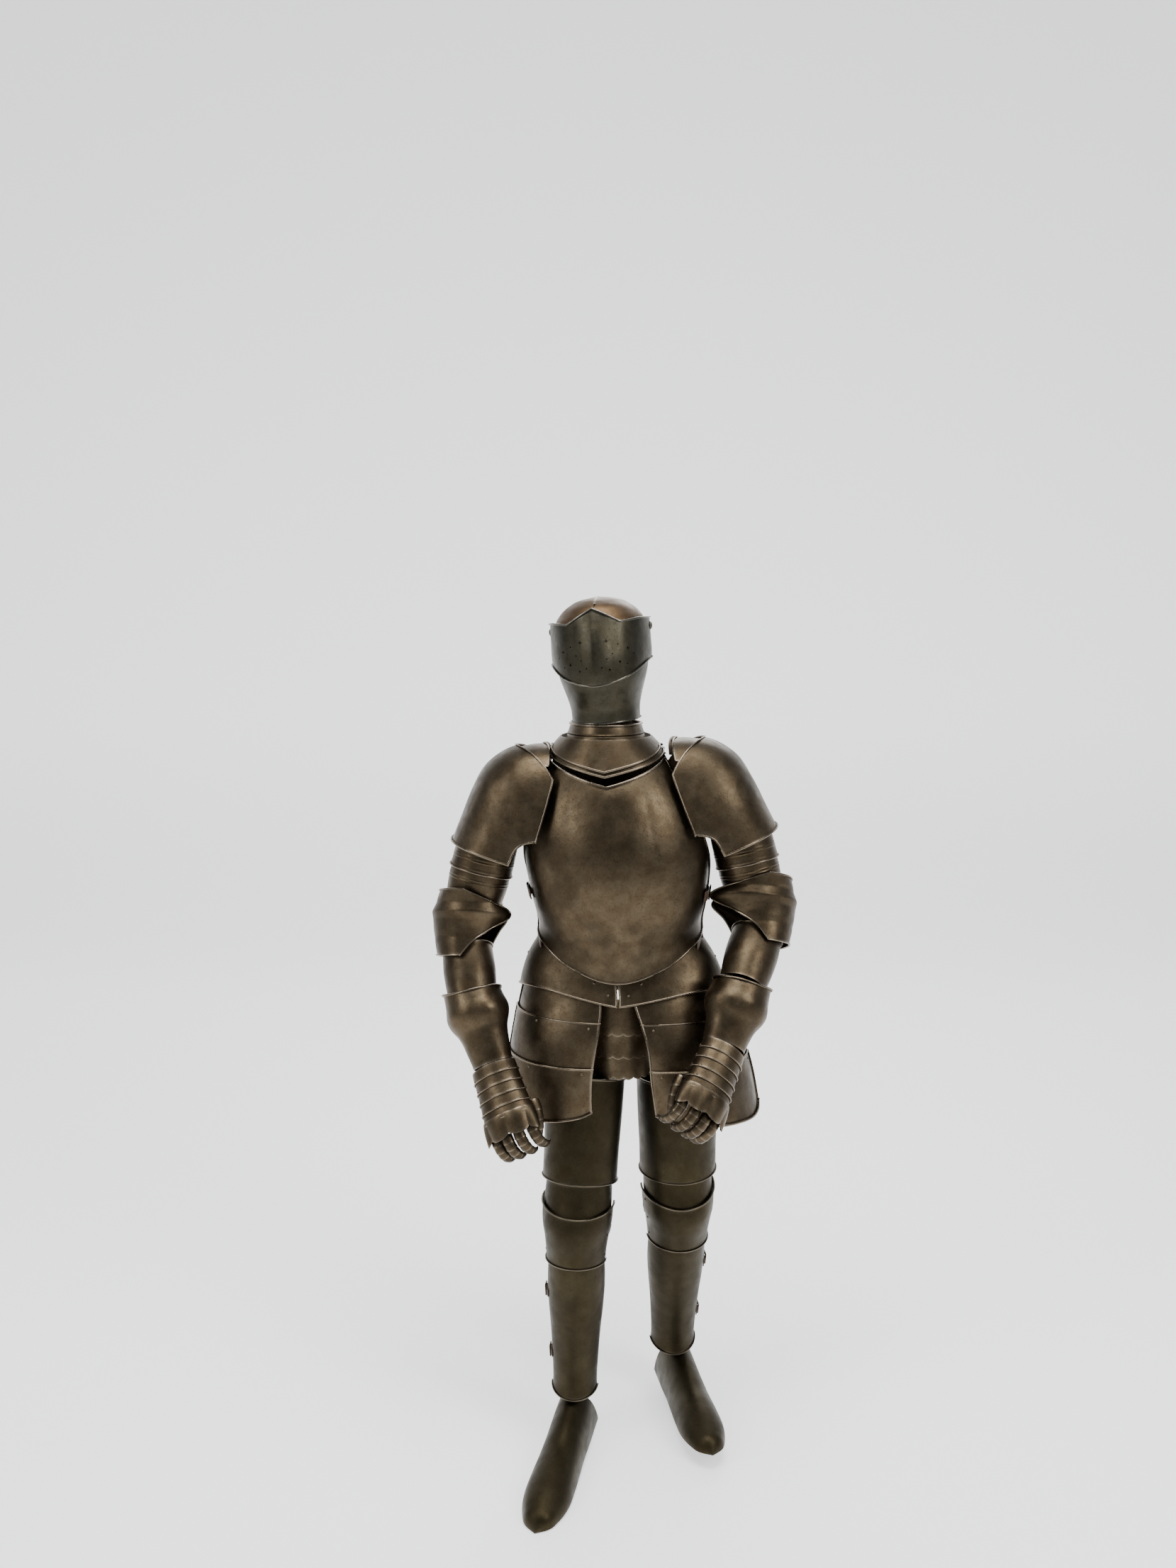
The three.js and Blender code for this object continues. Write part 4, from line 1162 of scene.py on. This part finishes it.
greaveBackBottom = table(
    "z u",
    (-366, 0),
    (-436, 0.5),
    (-366, 1),
)
sabatonForm = table(
    "z side front",
    (46, 42, 96),
    (0, 43, 98),
    (-42, 44, 86),
    (-85, 44, 74),
    (-130, 46, 60),
    (-180, 48, 52),
    (-225, 47, 44),
    (-262, 37, 34),
    (-286, 23, 22),
    (-300, 0, 0),
)
sabatonHeelEdge = table(
    "z u",
    (40, 0),
    (6, 0.25),
    (-36, 0.5),
    (6, 0.75),
    (40, 1),
)
greaveFront = [{**row, "start": -92, "end": 92} for row in greaveForm]
greaveBack = [{**row, "start": 85, "end": 275} for row in greaveForm]
for row in poleynForm:
    row["back"] = 66
for row in sabatonForm:
    row.update(back=0.1 * row["front"], start=-92, end=92)


poleynRivets = [(0.08, 0.12), (0.92, 0.12), (0.1, 0.86), (0.9, 0.86), (0.1, 0.5), (0.9, 0.5)]
kneeStrap = dict(height=-6, width=18, thickness=2.5, lift=1.5, reach=dict(start=96, end=264))
greaveStraps = dict(heights=(-150, -290), width=16, thickness=2.5, lift=6.5, reach=dict(start=70, end=116))


def buildLeg(word, side):
    cap = word.capitalize()
    leg = legs[word]
    sized = lambda form: [{**row, "side": row["side"] * leg["girth"]} for row in form]
    finish = dict(material=legSteel, slotName="leg_steel", wall=limbWall)
    thigh = groundPlace(limbPlace(leg["hip"], leg["knee"], leg["facing"]))
    onePlate(f"cuisse{cap}", f"cuisse_{word}", formSurface(sized(cuisseForm), cuisseBottom, -92, side), thigh, side,
             columns=84, rows=48, lift=3, ring=True, rolls=dict(high=1.4, low=0.7), **finish)
    knee = Vector(leg["knee"])
    middle = (Vector(leg["hip"]) - knee).normalized() + (knee - Vector(leg["ankle"])).normalized()
    joint = groundPlace(limbPlace(knee, knee - middle.normalized(), leg["facing"]))
    onePlate(f"poleynLame{cap}", f"poleyn_lame_{word}", formSurface(sized(poleynForm), 32, 100, side), joint, side,
             columns=72, rows=24, lift=-4, **finish)
    knee = formSurface(sized(poleynForm), -66, poleynTop, side)
    onePlate(f"poleyn{cap}", f"poleyn_{word}", knee, joint, side, columns=80, rows=48,
             rolls=dict(high=0.8, low=0.8, end=0.9), **finish)
    rivetsOn(f"poleynRivets{cap}", knee, joint, side, poleynRivets, material=legSteel)
    around = [{**row, **kneeStrap["reach"]} for row in sized(poleynForm)]
    addStrap(f"kneeStrap{cap}", around, joint, side, kneeStrap["height"], kneeStrap)
    shin = groundPlace(limbPlace(leg["knee"], leg["ankle"], leg["facing"]))
    onePlate(f"greaveFront{cap}", f"greave_front_{word}", formSurface(sized(greaveFront), greaveFrontBottom, -50, side), shin,
             side, columns=60, rows=54, lift=3.6, rolls=dict(low=0.8), **finish)
    onePlate(f"greaveBack{cap}", f"greave_back_{word}", formSurface(sized(greaveBack), greaveBackBottom, -46, side), shin,
             side, columns=60, rows=54, rolls=dict(high=0.8), **finish)
    for number, height in enumerate(greaveStraps["heights"], 1):
        flank = [{**row, **greaveStraps["reach"]} for row in sized(greaveForm)]
        addStrap(f"greaveStrap{number}{cap}", flank, shin, side, height, greaveStraps)
    foot = groundPlace(limbPlace(leg["heel"], leg["toe"], (0, 0, 1)))
    onePlate(f"sabaton{cap}", f"sabaton_{word}", formSurface(sabatonForm, -300, sabatonHeelEdge, side), foot, side,
             columns=72, rows=64, **finish)


for word, side in sides.items():
    buildShoulder(word, side)
    buildArm(word, side)
    buildLeg(word, side)
    print(word, "shoulder, arm and leg made")

# Floor, light and camera.

stagePlan = dict(width=9.0, depth=9.0, wallHeight=6.0, bend=1.2, colour=(0.93, 0.93, 0.925), glow=0.8)


def plainMaterial(name, colour, rough):
    material = bpy.data.materials.new(name)
    material.use_nodes = True
    shader = material.node_tree.nodes["Principled BSDF"]
    shader.inputs["Base Color"].default_value = (*colour, 1)
    shader.inputs["Roughness"].default_value = rough
    return material


def buildStage():
    floorHeight = cadBounds[0][2] - 0.001
    bm = bmesh.new()
    bmesh.ops.create_grid(bm, x_segments=4, y_segments=60, size=0.5)
    run = stagePlan["depth"] + stagePlan["bend"] * math.pi / 2 + stagePlan["wallHeight"]
    for vert in bm.verts:
        along = (vert.co.y + 0.5) * run
        bend = stagePlan["bend"]
        if along < stagePlan["depth"]:
            y, z = along, 0.0
        elif along < stagePlan["depth"] + bend * math.pi / 2:
            turn = (along - stagePlan["depth"]) / bend
            y, z = stagePlan["depth"] + bend * math.sin(turn), bend * (1 - math.cos(turn))
        else:
            y, z = stagePlan["depth"] + bend, bend + along - stagePlan["depth"] - bend * math.pi / 2
        vert.co = Vector((vert.co.x * stagePlan["width"] * 2, y - 5.5, floorHeight + z))
    mesh = bpy.data.meshes.new("studioFloor")
    bm.to_mesh(mesh)
    bm.free()
    mesh.shade_smooth()
    pale = plainMaterial("paleFloor", stagePlan["colour"], 0.8)
    pale.node_tree.nodes["Principled BSDF"].inputs["Emission Color"].default_value = (1, 1, 1, 1)
    pale.node_tree.nodes["Principled BSDF"].inputs["Emission Strength"].default_value = stagePlan["glow"]
    mesh.materials.append(pale)
    floor = bpy.data.objects.new("studioFloor", mesh)
    bpy.context.scene.collection.objects.link(floor)


lamps = table(
    "name spot aim size power",
    ("topBox", (0.1, -0.8, 2.6), (0, 0, -0.2), (2.2, 1.6), 110),
    ("leftBox", (-2.6, -1.6, 1.3), (0, 0, -0.2), (1.0, 2.2), 45),
    ("rightBox", (2.4, -2.0, 1.6), (0, 0, -0.2), (1.0, 2.0), 60),
    ("backBox", (0.6, 3.0, 2.0), (0, 0, 0), (2.0, 1.6), 50),
)


def buildLights():
    for lamp in lamps:
        light = bpy.data.lights.new(lamp["name"], "AREA")
        light.shape = "RECTANGLE"
        light.size, light.size_y = lamp["size"]
        light.energy = lamp["power"]
        made = bpy.data.objects.new(lamp["name"], light)
        made.location = lamp["spot"]
        made.rotation_euler = (Vector(lamp["aim"]) - Vector(lamp["spot"])).to_track_quat("-Z", "Y").to_euler()
        bpy.context.scene.collection.objects.link(made)
    world = bpy.data.worlds.new("softRoom")
    world.use_nodes = True
    world.node_tree.nodes["Background"].inputs["Color"].default_value = (0.9, 0.95, 1.0, 1)
    world.node_tree.nodes["Background"].inputs["Strength"].default_value = 0.45
    bpy.context.scene.world = world


def buildCamera():
    camera = bpy.data.cameras.new("camera")
    camera.lens = 27.03
    camera.sensor_width = 36
    camera.sensor_fit = "AUTO"
    made = bpy.data.objects.new("camera", camera)
    made.location = (-0.045, -2.48, 0.24)
    made.rotation_euler = (math.radians(84), 0, 0)
    bpy.context.scene.collection.objects.link(made)
    bpy.context.scene.camera = made


buildStage()
buildLights()
buildCamera()
print("stage, lights and camera made")
